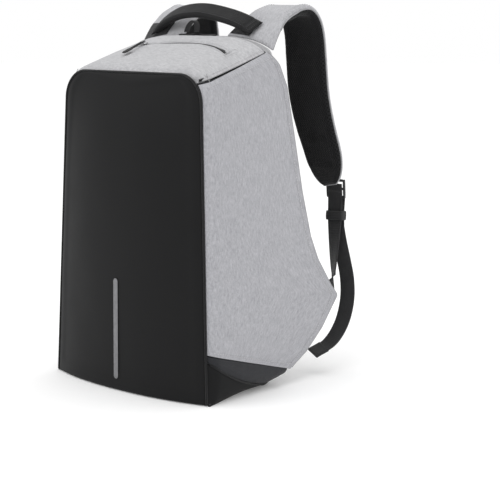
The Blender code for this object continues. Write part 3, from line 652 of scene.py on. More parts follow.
def woven_height(look, uv, period):
    """Plain weave: warp and weft take turns on top."""
    warp = look.bands(uv, period)
    weft = look.bands(uv, period, pi / 2)
    turns = look.add("ShaderNodeTexChecker", None, Vector=uv, Scale=1.0 / period).outputs["Fac"]
    over = look.math("MULTIPLY", warp, turns)
    under = look.math("MULTIPLY", weft, look.math("SUBTRACT", 1.0, turns))
    return look.math("ADD", over, under)


def heather(name, dark, light, turn=0.0, period=0.0007):
    """Melange polyester: pale and dark yarns mixed along the warp, with a fine plain weave."""
    look = Look(name, 0.88, sheen=0.10, specular=0.2)
    uv = look.coords(turn=turn)
    streaks = look.streaks(uv, (900, 190, 1), 3.0, 0.62)
    slubs = look.streaks(uv, (380, 75, 1), 2.0, 0.55)
    cross = look.streaks(uv, (300, 1300, 1), 2.0, 0.5)
    cloud = look.noise(uv, 40.0, 2.0, 0.5)
    weave = woven_height(look, uv, period)
    mixed = look.mix([(streaks, 0.44), (slubs, 0.26), (cross, 0.18), (cloud, 0.07), (weave, 0.05)])
    middle = tuple((a + b) / 2 for a, b in zip(dark, light))
    look.colour(look.ramp(mixed, [(0.36, dark), (0.50, middle), (0.64, light)]))
    height = look.mix([(weave, 1.0), (streaks, 0.9)])
    return look.bump(height, 0.00022, 0.55).made


def plain_weave(name, dark, light, period=0.0009, sheen=0.1, roughness=0.8):
    look = Look(name, roughness, sheen=sheen, specular=0.3)
    uv = look.coords()
    weave = woven_height(look, uv, period)
    worn = look.noise(uv, 60.0, 3.0, 0.6)
    fine = look.noise(uv, 1400.0, 2.0, 0.5)
    mixed = look.mix([(weave, 0.3), (worn, 0.3), (fine, 0.4)])
    look.colour(look.ramp(mixed, [(0.28, dark), (0.72, light)]))
    return look.bump(look.mix([(weave, 1.0), (fine, 0.4)]), 0.00025, 0.7).made


def coated_shell(name, dark, light):
    """Moulded foam board under a smooth coated fabric, with a very fine pebble and faint rubs."""
    look = Look(name, 0.50, specular=0.12)
    uv = look.coords()
    pebble = look.cells(uv, 1300.0)
    rubs = look.noise(uv, 14.0, 4.0, 0.6)
    dust = look.noise(uv, 900.0, 2.0, 0.6)
    look.colour(look.ramp(look.mix([(rubs, 0.6), (dust, 0.4)]), [(0.3, dark), (0.7, light)]))
    look.rough(look.ramp(look.mix([(rubs, 0.7), (dust, 0.3)]), [(0.3, (0.46,)), (0.7, (0.58,))]))
    return look.bump(look.mix([(pebble, 1.0), (dust, 0.2)]), 0.00006, 0.45).made


def air_mesh(name, hole, thread, pitch=0.0026):
    """Spacer mesh: rows of small diamond holes between knitted threads."""
    look = Look(name, 0.9, sheen=0.15, specular=0.2)
    uv = look.coords()
    one = look.bands(uv, pitch, pi / 4 + 0.12)
    two = look.bands(uv, pitch, -pi / 4 - 0.12)
    open_part = look.math("MULTIPLY", one, two)
    knit = look.bands(uv, 0.0006, 0.3)
    worn = look.noise(uv, 70.0, 3.0, 0.6)
    value = look.mix([(open_part, -1.0), (knit, 0.12), (worn, 0.25)])
    look.colour(look.ramp(look.math("ADD", value, 0.75), [(0.35, hole), (0.75, thread)]))
    return look.bump(look.mix([(open_part, -1.0), (knit, 0.12)]), 0.0007, 0.8).made


def webbing_look(name, dark, light, rib=0.0014):
    """Flat woven webbing: ribs across, cords along, and a tight selvedge."""
    look = Look(name, 0.72, sheen=0.12, specular=0.35)
    uv = look.coords()
    ribs = look.bands(uv, rib)
    cords = look.bands(uv, 0.0021, pi / 2)
    twill = look.bands(uv, 0.0010, pi / 4)
    worn = look.noise(uv, 90.0, 3.0, 0.6)
    height = look.mix([(ribs, 0.5), (cords, 0.6), (twill, 0.35)])
    look.colour(look.ramp(look.mix([(height, 0.45), (worn, 0.35)]), [(0.25, dark), (0.65, light)]))
    return look.bump(height, 0.00035, 0.75).made


def moulded(name, dark, light, roughness=0.42, grain=2200.0, coords="Object"):
    look = Look(name, roughness, specular=0.45)
    where = look.coords(coords)
    spark = look.noise(where, grain, 2.0, 0.5)
    flow = look.noise(where, 60.0, 2.0, 0.5)
    look.colour(look.ramp(flow, [(0.3, dark), (0.7, light)]))
    mixed = look.mix([(spark, 0.4), (flow, 0.6)])
    look.rough(look.ramp(mixed, [(0.3, (roughness - 0.08,)), (0.7, (roughness + 0.1,))]))
    return look.bump(spark, 0.00005, 0.35).made


def metal_look(name, dark, light):
    look = Look(name, 0.28, metallic=1.0)
    where = look.coords("Object", (200, 3000, 3000))
    scratch = look.noise(where, 1.0, 3.0, 0.6)
    stain = look.noise(look.coords("Object"), 260.0, 2.0, 0.5)
    look.colour(look.ramp(stain, [(0.3, dark), (0.7, light)]))
    look.rough(look.ramp(scratch, [(0.3, (0.2,)), (0.7, (0.42,))]))
    return look.bump(scratch, 0.00003, 0.3).made


def thread_look(name, dark, light):
    look = Look(name, 0.6, sheen=0.2, specular=0.4)
    where = look.coords("Object")
    twist = look.bands(where, 0.0007, 0.6)
    uneven = look.noise(where, 500.0, 2.0, 0.5)
    look.colour(look.ramp(look.mix([(twist, 0.5), (uneven, 0.5)]), [(0.3, dark), (0.7, light)]))
    return look.bump(twist, 0.0001, 0.5).made


def reflector_look(name):
    """Glass-bead transfer: grey, faintly cellular and satin."""
    look = Look(name, 0.34, metallic=0.35, specular=0.6)
    uv = look.coords()
    cells = look.cells(uv, 900.0)
    cloud = look.noise(uv, 120.0, 2.0, 0.5)
    mixed = look.mix([(cells, 0.7), (cloud, 0.5)])
    look.colour(look.ramp(mixed, [(0.15, (0.13, 0.13, 0.135)), (0.6, (0.23, 0.23, 0.24))]))
    return look.bump(cells, 0.00006, 0.4).made


GREY_SIDE = heather("heather_side", (0.300, 0.300, 0.322), (0.520, 0.520, 0.545))
# The lid's heather is the side's heather turned a quarter turn and painted lighter: painted light from above
# on the same cloth.
GREY_TOP_PAINTED_LIT = heather("heather_top_painted_lit", (0.345, 0.345, 0.358), (0.560, 0.560, 0.572), pi / 2)
GREY_STRAP = heather("heather_strap", (0.325, 0.325, 0.342), (0.540, 0.540, 0.558), pi / 2)
SHELL = coated_shell("coated_black", (0.0075, 0.0075, 0.0079), (0.0100, 0.0100, 0.0105))
TRIM = plain_weave("black_trim", (0.004, 0.004, 0.0045), (0.011, 0.011, 0.012), 0.0007)
DARK_FABRIC = plain_weave("dark_oxford", (0.014, 0.0145, 0.017), (0.034, 0.035, 0.040), 0.0010)
PADDED = plain_weave("padded_black", (0.004, 0.004, 0.0045), (0.012, 0.012, 0.013), 0.0009, 0.06)
LINING = plain_weave("grey_lining", (0.030, 0.031, 0.035), (0.060, 0.061, 0.068), 0.0006, 0.15, 0.62)
MESH = air_mesh("air_mesh", (0.0015, 0.0015, 0.0017), (0.0125, 0.0125, 0.0135))
WEBBING = webbing_look("webbing_black", (0.010, 0.010, 0.011), (0.034, 0.034, 0.036))
BINDING = webbing_look("binding_tape", (0.005, 0.005, 0.006), (0.014, 0.014, 0.015), 0.0009)
PLASTIC = moulded("black_acetal", (0.008, 0.008, 0.009), (0.012, 0.012, 0.013))
RUBBER = moulded("soft_rubber", (0.010, 0.010, 0.010), (0.018, 0.018, 0.018), 0.66, 900.0)
BOARD = moulded("fibre_board", (0.055, 0.053, 0.050), (0.105, 0.100, 0.094), 0.75, 500.0)
METAL = metal_look("zip_metal", (0.42, 0.42, 0.43), (0.62, 0.62, 0.63))
GUNMETAL = metal_look("gunmetal", (0.03, 0.03, 0.032), (0.06, 0.06, 0.062))
REFLECTOR = reflector_look("reflective_transfer")
GREY_THREAD = thread_look("grey_thread", (0.40, 0.40, 0.41), (0.66, 0.66, 0.67))
BLACK_THREAD = thread_look("black_thread", (0.010, 0.010, 0.011), (0.040, 0.040, 0.042))
EDGE_TAPE = webbing_look("pale_edge_tape", (0.20, 0.20, 0.21), (0.42, 0.42, 0.43), 0.0009)

# ---- shell -------------------------------------------------------------------------------


def front_outline(v):
    """Height and half width of the front panel at share v, with rows gathered at the round corners."""
    gap = 0.0012
    if v <= 0.72:
        z = 0.0012 + (CORNER_START - 0.0012) * v / 0.72
        return z, front_half(z) - gap
    rise = (CORNER_RADIUS - gap) * sin(pi / 2 * (v - 0.72) / 0.28)
    straight = FRONT_HALF - FRONT_TAPER * CORNER_START - CORNER_RADIUS
    return CORNER_START + rise, straight + sqrt(max((CORNER_RADIUS - gap) ** 2 - rise ** 2, 0.0))


def front_point(u, v):
    z, half = front_outline(v)
    x = half * (2 * u - 1)
    return x, front_y(x, z), z


def front_relief(places, us, vs):
    """The moulded face: a soft shoulder inside the edge, and a little unevenness."""
    edge = edge_distance(places)
    shoulder = 0.0009 * ridge(edge, 0.011, 0.006)
    return shoulder + 0.00025 * ripple(places[..., 0], places[..., 2], 0.11, 2) - 0.0004


def front_seam(inset=0.0002, depth=0.0010):
    """The seam line round the front panel, from the left foot over the top to the right foot."""
    right = []
    for i in range(40):
        z = 0.002 + (CORNER_START - 0.002) * i / 39
        right.append((front_half(z) - inset, FRONT_LEAN * z + depth, z))
    radius = CORNER_RADIUS - inset
    straight = FRONT_HALF - FRONT_TAPER * CORNER_START - inset
    for i in range(1, 20):
        angle = pi / 2 * i / 20
        z = CORNER_START + radius * sin(angle)
        right.append((straight - radius + radius * cos(angle), FRONT_LEAN * z + depth, z))
    for i in range(24):
        x = 0.088 * (1 - i / 23)
        z = CORNER_START + radius
        right.append((x, FRONT_LEAN * z + depth, z))
    return [(-x, y, z) for x, y, z in right[:-1]] + right[::-1]


def make_front():
    sheet_piece("front_shell", front_point, size=(0.28, 0.42), step=0.0045, thick=FRONT_THICK,
                looks=[SHELL, LINING], fillet=0.0045, nodes=["front_panel"],
                relief=front_relief)
    sweep("front_edge_piping", front_seam(), circle(0.00165, 10), [TRIM], "shell", up=(0, 1, 0.02),
          nodes=["front_piping"])

    def strip(u, v):
        z = 0.0163 + 0.1334 * v
        end = min(v, 1 - v) * 0.1334
        half = sqrt(max(0.0041 ** 2 - max(0.0041 - end, 0.0) ** 2, 0.0))
        x = max(half, 0.0002) * (2 * u - 1)
        return x, front_y(x, z) - 0.0009, z

    sheet_piece("reflective_transfer", strip, size=(0.0082, 0.1334), step=0.0012, thick=0.0008,
                looks=[REFLECTOR], fillet=0.0009, nodes=["reflective_strip"])


SIDE_RISE = 0.0005


def side_point(side, u, v):
    """A Coons patch between the leaf line, the top seam, the front seam and the rear edge."""
    front_start = 0.0022
    z_front = LEAF_FRONT_Z + (SEAM_FRONT_Z - LEAF_FRONT_Z) * v
    z_rear = LEAF_REAR_Z + (SEAM_REAR_Z - LEAF_REAR_Z) * rear_share(v)
    front = Vector((FRONT_LEAN * z_front + front_start, z_front))
    rear = Vector((rear_y(z_rear), z_rear))

    def low_edge(y):
        return Vector((y, leaf_z(y)))

    def high_edge(y):
        return Vector((y, seam_z(y) + SIDE_RISE))

    low = low_edge(front_start + (REAR_FOOT_Y - front_start) * u)
    high = high_edge(LID_CORNER_Y + (REAR_TOP_Y - LID_CORNER_Y) * u)
    corners = (low_edge(front_start), low_edge(REAR_FOOT_Y), high_edge(LID_CORNER_Y), high_edge(REAR_TOP_Y))
    flat = (
        low * (1 - v) + high * v + front * (1 - u) + rear * u
        - corners[0] * (1 - u) * (1 - v) - corners[1] * u * (1 - v)
        - corners[2] * (1 - u) * v - corners[3] * u * v
    )
    return Vector((side * side_x(flat.x, flat.y), flat.x, flat.y))


def rear_share(v):
    """Rows of the side panel, set so that one row meets the wing's tip."""
    tip = (WING_TIP_Z - LEAF_REAR_Z) / (SEAM_REAR_Z - LEAF_REAR_Z)
    return tip * v / 0.25 if v < 0.25 else tip + (1 - tip) * (v - 0.25) / 0.75


def fabric_relief(seed, hem):
    """Stitched edges pull a cloth in, with small puckers between stitches and long soft ripples."""

    def relief(places, us, vs):
        edge = edge_distance(places)
        a, b = places[..., 1], places[..., 2]
        soft = 0.0011 * ripple(a, b * 0.45, 0.12, seed) + 0.0005 * ripple(a, b * 0.3, 0.045, seed + 4)
        pull = -0.0005 * ridge(edge, 0.0, 0.003) - 0.0007 * ridge(edge, 0.0055, 0.0016)
        pucker = 0.00035 * ripple(a, b, 0.011, seed + 9) * ridge(edge, 0.004, 0.006)
        fold = 0.0
        if hem:
            behind = np.maximum(us - hem, 0) * 30
            fold = 0.0007 * np.clip(behind, 0, 1) - 0.0006 * ridge(us, hem, 0.006)
        return soft * np.clip(edge / 0.03, 0, 1) + pull + pucker + fold

    return relief


PORT_Y = 0.080
PORT_Z = 0.230
PORT_HALF_DEPTH = 0.0085
PORT_HALF_HEIGHT = 0.0048
HEM_SHARE = 0.957


def make_side(side, label):
    def point(u, v):
        return side_point(side, u, v)

    def over_port(middle):
        beside = abs(middle[1] - PORT_Y) < PORT_HALF_DEPTH
        return side < 0 and beside and abs(middle[2] - PORT_Z) < PORT_HALF_HEIGHT

    relief = fabric_relief(3 if side > 0 else 5, HEM_SHARE)
    sheet_piece(f"side_cover_{label}", point, size=(0.185, 0.39), step=0.0034, thick=CLOTH_THICK,
                looks=[GREY_SIDE, LINING], sign=side, fillet=0.0009, nodes=[f"side_panel_{label}"],
                relief=relief, left_out=over_port)
    for name, start, end, count in (
        ("wing", (HEM_SHARE, 0.015), (HEM_SHARE, 0.980), 160),
        ("lower", (0.02, 0.014), (0.97, 0.014), 80),
        ("zip", (0.05, 0.985), (0.98, 0.985), 80),
    ):
        line = even_line(start, end, count)
        stitch_line(f"{name}_stitching_{label}", point, side, line, "shell", GREY_THREAD, lift=0.0003)
    make_wing_binding(side, label)


def make_wing_binding(side, label):
    """Dark tape folded over the rear edge of the side, and the facing behind it up to the back panel."""
    inward = Vector((-side * 0.0016, 0.0002, 0.0))
    path = [side_point(side, 1.0, i / 150) + inward for i in range(1, 150)]
    sweep(f"wing_binding_{label}", path, circle(0.0016, 8), [EDGE_TAPE], "shell", up=(side, 0, 0.01))

    def facing(u, v):
        z = 0.030 + 0.402 * v
        y = back_y(z)
        inner = Vector((side * (back_half(z) - 0.004), y - 0.0065, z))
        outer = Vector((side * (side_x(y - 0.006, z) - 0.0032), min(y - 0.004, rear_y(z) - 0.004), z))
        return outer.lerp(inner, u) + Vector((0, 0.0012 * sin(pi * u), 0))

    sheet_piece(f"side_facing_{label}", facing, size=(0.010, 0.40), step=0.004, thick=0.0012,
                looks=[DARK_FABRIC, GREY_SIDE], sign=-side, fillet=0.0008,
                paint=lambda place: int(place[2] > FACING_TOP_Z))


def back_y(z):
    """Depth of the back panel's outer face at height z, at the middle."""
    low, high = 0.0, 1.0
    for _ in range(24):
        middle = (low + high) / 2
        if spline(BACK_PROFILE, middle)[1] < z:
            low = middle
        else:
            high = middle
    return spline(BACK_PROFILE, (low + high) / 2)[0]


def gusset_point(side, u, v):
    y = 0.0035 + (BOTTOM_REAR_Y - 0.0035) * u
    top = -0.02
    angle = top + max(leaf_angle(y) - 0.004 - top, 0.03) * (1 - v)
    if angle < 0:
        place = under_point(y, 0.0) + Vector((-0.0006, 0.0, -angle * 0.02))
    else:
        place = under_point(y, angle)
    return Vector((side * (place.x - 0.0004), place.y, place.z))


def make_gusset(side, label):
    def point(u, v):
        return gusset_point(side, u, v)

    sheet_piece(f"gusset_cover_{label}", point, size=(0.148, 0.03), step=0.0030, thick=0.0028,
                looks=[DARK_FABRIC, LINING], sign=side, fillet=0.0014, nodes=[f"bottom_gusset_{label}"],
                relief=fabric_relief(7, 0.0))
    outward = Vector((side * 0.0006, 0, -0.0004))
    seam = [point(u, v) + outward for u, v in even_line((0.02, 0.0), (0.98, 0.0), 70)]
    sweep(f"gusset_piping_{label}", seam, circle(0.0011, 8), [TRIM], "shell", up=(side, 0, 0.3))
    line = even_line((0.10, 0.10), (0.96, 0.10), 60)
    stitch_line(f"gusset_stitching_{label}", point, side, line, "shell", BLACK_THREAD)


def bottom_point(u, v):
    """The floor of the bag, with a flank up each side to the gusset."""
    y_side = 0.0028 + (BOTTOM_REAR_Y - 0.0028) * v
    flank = 0.27
    if flank <= u <= 1 - flank:
        share = 2 * (u - flank) / (1 - 2 * flank) - 1
        x = share * floor_x(y_side)
        front = front_y(x, 0.0) + 0.0036
        y = front + (BOTTOM_REAR_Y - front) * v
        blend = abs(share) ** 3
        y = y * (1 - blend) + y_side * blend
        return Vector((x, y, floor_lift(y) + 0.0003))
    side = -1 if u < flank else 1
    up = (flank - u) / flank if side < 0 else (u - 1 + flank) / flank
    angle = pi / 2 + (leaf_angle(y_side) + 0.008 - pi / 2) * up
    place = under_point(y_side, angle)
    return Vector((side * place.x, place.y, place.z + 0.0003 * (1 - up)))


def bottom_relief(places, us, vs):
    height = places[..., 2]
    return 0.0006 * ripple(places[..., 1], places[..., 2], 0.05, 4) * np.clip(height / 0.02, 0, 1)


def make_bottom():
    sheet_piece("bottom_cover", bottom_point, size=(0.40, 0.15), step=0.0040, thick=0.0030,
                looks=[SHELL, LINING], sign=-1, fillet=0.0018, nodes=["bottom_panel"],
                relief=bottom_relief)


# ---- lid and its pocket ------------------------------------------------------------------


LIP_FRONT = 0.70
LIP_REAR = 0.78
LID_EDGE_Y = 0.0106
LID_OVERHANG = 0.0026
LID_DROP = 0.0032
LID_END_Y = 0.1290
GROOVE_LOOK_HALF = 0.0015
FACING_TOP_Z = 0.405


def lid_row(x, v):
    """y on the lid: rows follow the pocket zip's two lips, so that the groove between them is clean."""
    along = min(max(x, ZIP_LEFT_X - 0.02), ZIP_RIGHT_X + 0.01)
    arc = ZIP_CENTRE[1] + sqrt(ZIP_RADIUS ** 2 - (along - ZIP_CENTRE[0]) ** 2)
    if v <= LIP_FRONT:
        return LID_EDGE_Y + (arc - ZIP_HALF_GAP - LID_EDGE_Y) * v / LIP_FRONT
    if v <= LIP_REAR:
        return arc - ZIP_HALF_GAP + 2 * ZIP_HALF_GAP * (v - LIP_FRONT) / (LIP_REAR - LIP_FRONT)
    return arc + ZIP_HALF_GAP + (LID_END_Y - arc - ZIP_HALF_GAP) * (v - LIP_REAR) / (1 - LIP_REAR)


def lid_place(u, v):
    share = 2 * u - 1
    y = lid_row(share * 0.123, v)
    half = lid_half(y) + LID_OVERHANG
    if y < 0.030:
        half -= 0.0125 * ((0.030 - y) / 0.0194) ** 2.2
    x = share * half
    return Vector((x, y, lid_z(x * lid_half(y) / half, y) - LID_DROP * abs(share) ** 8))


def zip_arc(x, offset=0.0, sink=0.0):
    y = ZIP_CENTRE[1] + sqrt((ZIP_RADIUS + offset) ** 2 - (x - ZIP_CENTRE[0]) ** 2)
    return Vector((x, y, lid_z(x, y) - sink))


def zip_distance(x, y):
    """How far a place is outside the pocket zip's arc."""
    return np.sqrt((x - ZIP_CENTRE[0]) ** 2 + (y - ZIP_CENTRE[1]) ** 2) - ZIP_RADIUS


def lid_relief(places, us, vs):
    """The zip's groove, stitched edges, and soft ripples."""
    x, y = places[..., 0], places[..., 1]
    radius = zip_distance(x, y)
    within = np.clip((x - ZIP_LEFT_X) / 0.003, 0, 1) * np.clip((ZIP_RIGHT_X - x) / 0.003, 0, 1)
    groove = -0.0022 * np.clip((GROOVE_LOOK_HALF + 0.0006 - np.abs(radius)) / 0.0008, 0, 1) * within
    lip = 0.0006 * ridge(np.abs(radius), ZIP_HALF_GAP + 0.002, 0.0022) * within
    edge = edge_distance(places)
    pull = -0.0004 * ridge(edge, 0.0, 0.003) - 0.0006 * ridge(edge, 0.0055, 0.0016)
    soft = 0.0008 * ripple(x, y, 0.09, 6) * np.clip(edge / 0.03, 0, 1)
    pucker = 0.0003 * ripple(x, y, 0.011, 8) * ridge(edge, 0.005, 0.006)
    return groove + lip + pull + soft + pucker


def make_lid():
    def groove(place):
        inside = abs(zip_distance(place[0], place[1])) < GROOVE_LOOK_HALF
        return 2 if inside and ZIP_LEFT_X < place[0] < ZIP_RIGHT_X else 0

    # The lid's cloth is painted lighter than the sides, as painted light from above.
    sheet_piece("lid_cover", lid_place, size=(0.25, 0.125), step=0.0030, thick=CLOTH_THICK,
                looks=[GREY_TOP_PAINTED_LIT, LINING, BINDING], body="lid", fillet=0.0009, nodes=["top_lid"],
                relief=lid_relief, paint=groove)
    make_pocket_stitching()
    for edge, label in ((0.015, "left"), (0.985, "right")):
        line = even_line((edge, 0.12), (edge, 0.99), 70)
        stitch_line(f"lid_stitching_{label}", lid_place, 1, line, "lid", GREY_THREAD)
    for x, label in ((ZIP_LEFT_X - 0.001, "left"), (ZIP_RIGHT_X + 0.001, "right")):
        make_bar_tack(f"pocket_tack_{label}", zip_arc(x, -0.004, -0.0007), zip_arc(x, 0.004, -0.0007),
                      "lid", GREY_THREAD)


def make_pocket_stitching():
    """A row of stitches on each side of the pocket zip, and a box at its right end."""
    up = Vector((0, 0.2, 1)).normalized()

    def sew(name, line, pitch, length):
        spots = [(zip_arc(x, offset) + Vector((0, 0, 0.0010)), up) for x, offset in line]
        stitches(name, spots, "lid", GREY_THREAD, pitch=pitch, length=length, radius=0.0003)

    for offset, name in ((0.0052, "rear"), (-0.0052, "front")):
        line = even_line((ZIP_LEFT_X - 0.003, offset), (ZIP_RIGHT_X + 0.002, offset), 90)
        sew(f"pocket_zip_stitching_{name}", line, 0.0036, 0.0025)
    corners = ((0.1030, -0.0045), (0.1090, -0.0045), (0.1090, 0.0150), (0.1030, 0.0150), (0.1030, -0.0045))
    sew("pocket_end_stitching", corner_line(corners, 14), 0.0030, 0.0022)


def make_bar_tack(name, start, end, body, look, width=0.0022):
    """A dense zigzag of thread that closes the end of a zip."""
    start, end = Vector(start), Vector(end)
    along = (end - start).normalized()
    side = along.cross(Vector((0, 0, 1))).normalized()
    count = int((end - start).length / 0.00055)
    path = []
    for i in range(count + 1):
        place = start.lerp(end, i / count)
        path.append(place + side * (width / 2 if i % 2 else -width / 2) + Vector((0, 0, 0.0001 * (i % 3))))
    sweep(name, path, circle(0.00028, 5), [look], body, up=(0, 0, 1))


def make_pocket_zip():
    def tape(u, v):
        x = ZIP_LEFT_X - 0.004 + (ZIP_RIGHT_X - ZIP_LEFT_X + 0.008) * u
        return zip_arc(x, 0.0125 * (v - 0.5), 0.0036)

    sheet_piece("pocket_zip_fabric", tape, size=(0.186, 0.0125), step=0.0030, thick=0.0008,
                looks=[BINDING], body="lid", fillet=0.0006, nodes=["pocket_zip_tape"])
    path = [zip_arc(x, 0.0, 0.0012) for x, in even_line((ZIP_LEFT_X + 0.002,), (ZIP_RIGHT_X - 0.002,), 120)]
    coil("pocket_zip_teeth", path, 0.0015, "lid", PLASTIC, 0.0011, ["pocket_zip_coil"])

    def bag(u, v):
        x = -0.088 + 0.186 * u
        y = 0.041 + 0.076 * v
        rim = min(u, 1 - u, v * 0.5, (1 - v) * 0.5) * 8
        crease = 0.0012 * float(ripple(np.float64(x), np.float64(y), 0.035, 3))
        return Vector((x, y, lid_z(x, y) - LID_THICK - 0.0030 - (0.021 + crease) * smooth(rim)))

    sheet_piece("lid_pocket_bag", bag, size=(0.186, 0.080), step=0.0034, thick=0.0010, looks=[LINING],
                body="lid", fillet=0.0007, nodes=["lid_pocket"])


def frame_from(along, up):
    """Turn whose X is along, and whose Z is as near up as it can be."""
    along = Vector(along).normalized()
    up = (Vector(up) - along * Vector(up).dot(along)).normalized()
    return Matrix((along, up.cross(along), up)).transposed()


def cord_pull(name, bridge, turn, length, gap, body, node):
    """A doubled cord through the slider's lug, whose ends go into a moulded grip."""
    loop = []
    for i in range(41):
        t = i / 40
        if t < 0.36:
            x, y = -0.72 * length + 0.72 * length * t / 0.36, gap * min(1.0, (0.36 - t) * 9 + 0.62)
        elif t < 0.64:
            angle = pi / 2 - pi * (t - 0.36) / 0.28
            x, y = 0.0009 * cos(angle), gap * 0.62 * sin(angle)
        else:
            x, y = -0.72 * length * (t - 0.64) / 0.36, -gap * min(1.0, (t - 0.64) * 9 + 0.62)
        loop.append(bridge + turn @ Vector((x - 0.0006, y, 0.0)))
    sweep(f"{name}_cord", loop, circle(0.00085, 8), [BINDING], body, up=turn @ Vector((0, 0, 1)))
    shape = []
    for i in range(25):
        t = i / 24
        x = -0.62 * length - 0.38 * length * t
        far_end = sqrt(max(1 - (2 * max(t - 0.5, 0.0)) ** 6, 0.0))
        near_end = sqrt(max(1 - (2 * max(0.5 - t, 0.0)) ** 10, 0.0))
        rib = 1 + 0.10 * sin(pi * 9 * t)
        shape.append((bridge + turn @ Vector((x, 0, 0)), max(far_end * near_end, 0.12) * rib))
    wide = gap + 0.0022

    def outline(i):
        size = shape[i][1]
        return circle(wide * size, 14, 0.0014 / wide)

    path = [place for place, _ in shape]
    sweep(f"{name}_grip", path, outline, [RUBBER], body, up=turn @ Vector((0, 0, 1)), nodes=[node])


def make_lid_pull():
    centre = zip_arc(LID_SLIDER_X, 0.0, -0.0011)
    along = zip_arc(LID_SLIDER_X + 0.004) - zip_arc(LID_SLIDER_X - 0.004)
    across = zip_arc(LID_SLIDER_X, 0.004) - zip_arc(LID_SLIDER_X, -0.004)
    up = along.cross(across).normalized()
    turn = frame_from(LID_PULL_AWAY, up)
    bridge = centre + (frame_from(along, up) @ Vector((0, 0, 1))) * 0.0040
    cord_pull("pocket_pull", bridge, turn, length=0.0430, gap=0.0022, body="pocket_pull",
              node="pocket_zip_pull")


def rear_track(x):
    return Vector((x, 0.1320, lid_z(x, LID_REAR_Y) - 0.0050))


def main_zip_track():
    """The lid's zip: forward end of the left seam, round the back, to the right seam's end."""
    right = []
    for i in range(7):
        y = 0.0170 + (0.1180 - 0.0170) * i / 6
        right.append((side_x(y, seam_z(y)) - 0.0046, y, seam_z(y) + 0.0002))
    right.extend(((0.1240, 0.1282, 0.4396), (0.1218, 0.1318, 0.4404), (0.1150, 0.1322, 0.4414)))
    for x in (0.100, 0.085, 0.065, 0.045, 0.022, 0.0):
        right.append(tuple(rear_track(x)))
    left = [(-x, y, z) for x, y, z in right[:-1]]
    key = left + right[::-1]
    return [Vector(spline(key, i / 300)) for i in range(301)]


def make_main_zip():
    track = main_zip_track()
    coil("main_zip_teeth", track, 0.0013, "shell", PLASTIC, 0.0012, ["main_zip_coil"])

    def tape(u, v):
        place = spline(track, u)
        inward = Vector((-place[0] * 0.9, 0.06 - place[1], 0)).normalized()
        sink = Vector((0, 0, 0.0020 + 0.0010 * abs(v - 0.15)))
        return Vector(place) + inward * (0.0095 * (v - 0.15)) - sink

    sheet_piece("main_zip_tape", tape, size=(0.62, 0.0095), step=0.0040, thick=0.0008, looks=[BINDING],
                fillet=0.0006)
    for side, label in ((-1, "left"), (1, "right")):
        y = 0.0255
        base = Vector((side * (side_x(y, seam_z(y)) + 0.0002), y, seam_z(y) + 0.0012))
        make_bar_tack(f"front_tack_{label}", base + Vector((-side * 0.006, 0.0, 0.0040)),
                      base + Vector((side * 0.0015, 0.0, -0.0075)), "shell", GREY_THREAD, 0.0020)
        centre = rear_track(side * 0.008) + Vector((0, 0, 0.0016))
        turn = frame_from((-side, 0, 0), (0, 0, 1))
        pull = f"main_pull_{label}"
        start = centre + Vector((0, 0, 0.0040))
        cord_pull(pull, start, turn, length=0.0260, gap=0.0015, body=pull, node=f"main_zip_pull_{label}")


# ---- back --------------------------------------------------------------------------------


CREST_Y = 0.1475
CREST_T = 0.795


def back_relief(places, us, vs):
    """Quilted channels across the mesh, and a stitched-in border."""
    edge = edge_distance(places)
    pull = -0.0020 * ridge(edge, 0.0, 0.004)
    channel = -0.0016 * ridge(us, 0.5, 0.012) * np.clip((vs - 0.36) / 0.04, 0, 1)
    band = -0.0016 * ridge(vs, 0.375, 0.012)
    return pull + channel + band + 0.0005 * ripple(places[..., 0], places[..., 2], 0.05, 5)


def make_back():
    def outer(u, v):
        return back_point((1 - 2 * u) * 1.006, v)

    # The crest uses the lid's cloth, which is painted lighter as painted light from above.
    def crest_cloth(place):
        return 2 if place[1] < CREST_Y else 0

    sheet_piece("back_cover", outer, size=(0.27, 0.50), step=0.0045, thick=BACK_THICK,
                looks=[MESH, LINING, GREY_TOP_PAINTED_LIT], fillet=0.0040, nodes=["back_panel"],
                relief=back_relief, paint=crest_cloth)
    edge = [outer(0.004, i / 120) for i in range(3, 119)]
    path = [place for place in edge if place.z < FACING_TOP_Z]
    for side, label in ((1, "left"), (-1, "right")):
        line = [Vector((-side * abs(p.x), p.y - 0.0006, p.z)) for p in path]
        sweep(f"back_binding_{label}", line, circle(0.0022, 8), [BINDING], "shell", up=(1, 0, 0.01))
    crest = [outer(u, v) for u, v in even_line((0.10, CREST_T), (0.90, CREST_T), 80)]
    sweep("crest_piping", crest, circle(0.0013, 8), [BINDING], "shell", up=(0, 0, 1))
    for name, x0, x1, t0, t1 in (
        ("back_pad_left", 0.10, 0.72, 0.40, 0.80), ("back_pad_right", -0.72, -0.10, 0.40, 0.80),
        ("lumbar_pad", -0.62, 0.62, 0.12, 0.34),
    ):
        make_pad(name, x0, x1, t0, t1)


def pad_point(x0, x1, t0, t1, u, v, lift):
    """A point of a cushion with full corners, lifted off the back panel."""
    a = 2 * u - 1
    b = 2 * v - 1
    corner_x = a * sqrt(1 - 0.22 * b ** 6)
    corner_z = b * sqrt(1 - 0.14 * a ** 6)
    share = -(x0 + x1) / 2 - (x1 - x0) / 2 * corner_x
    t = (t0 + t1) / 2 + (t1 - t0) / 2 * corner_z
    return back_point(share, t, -lift)


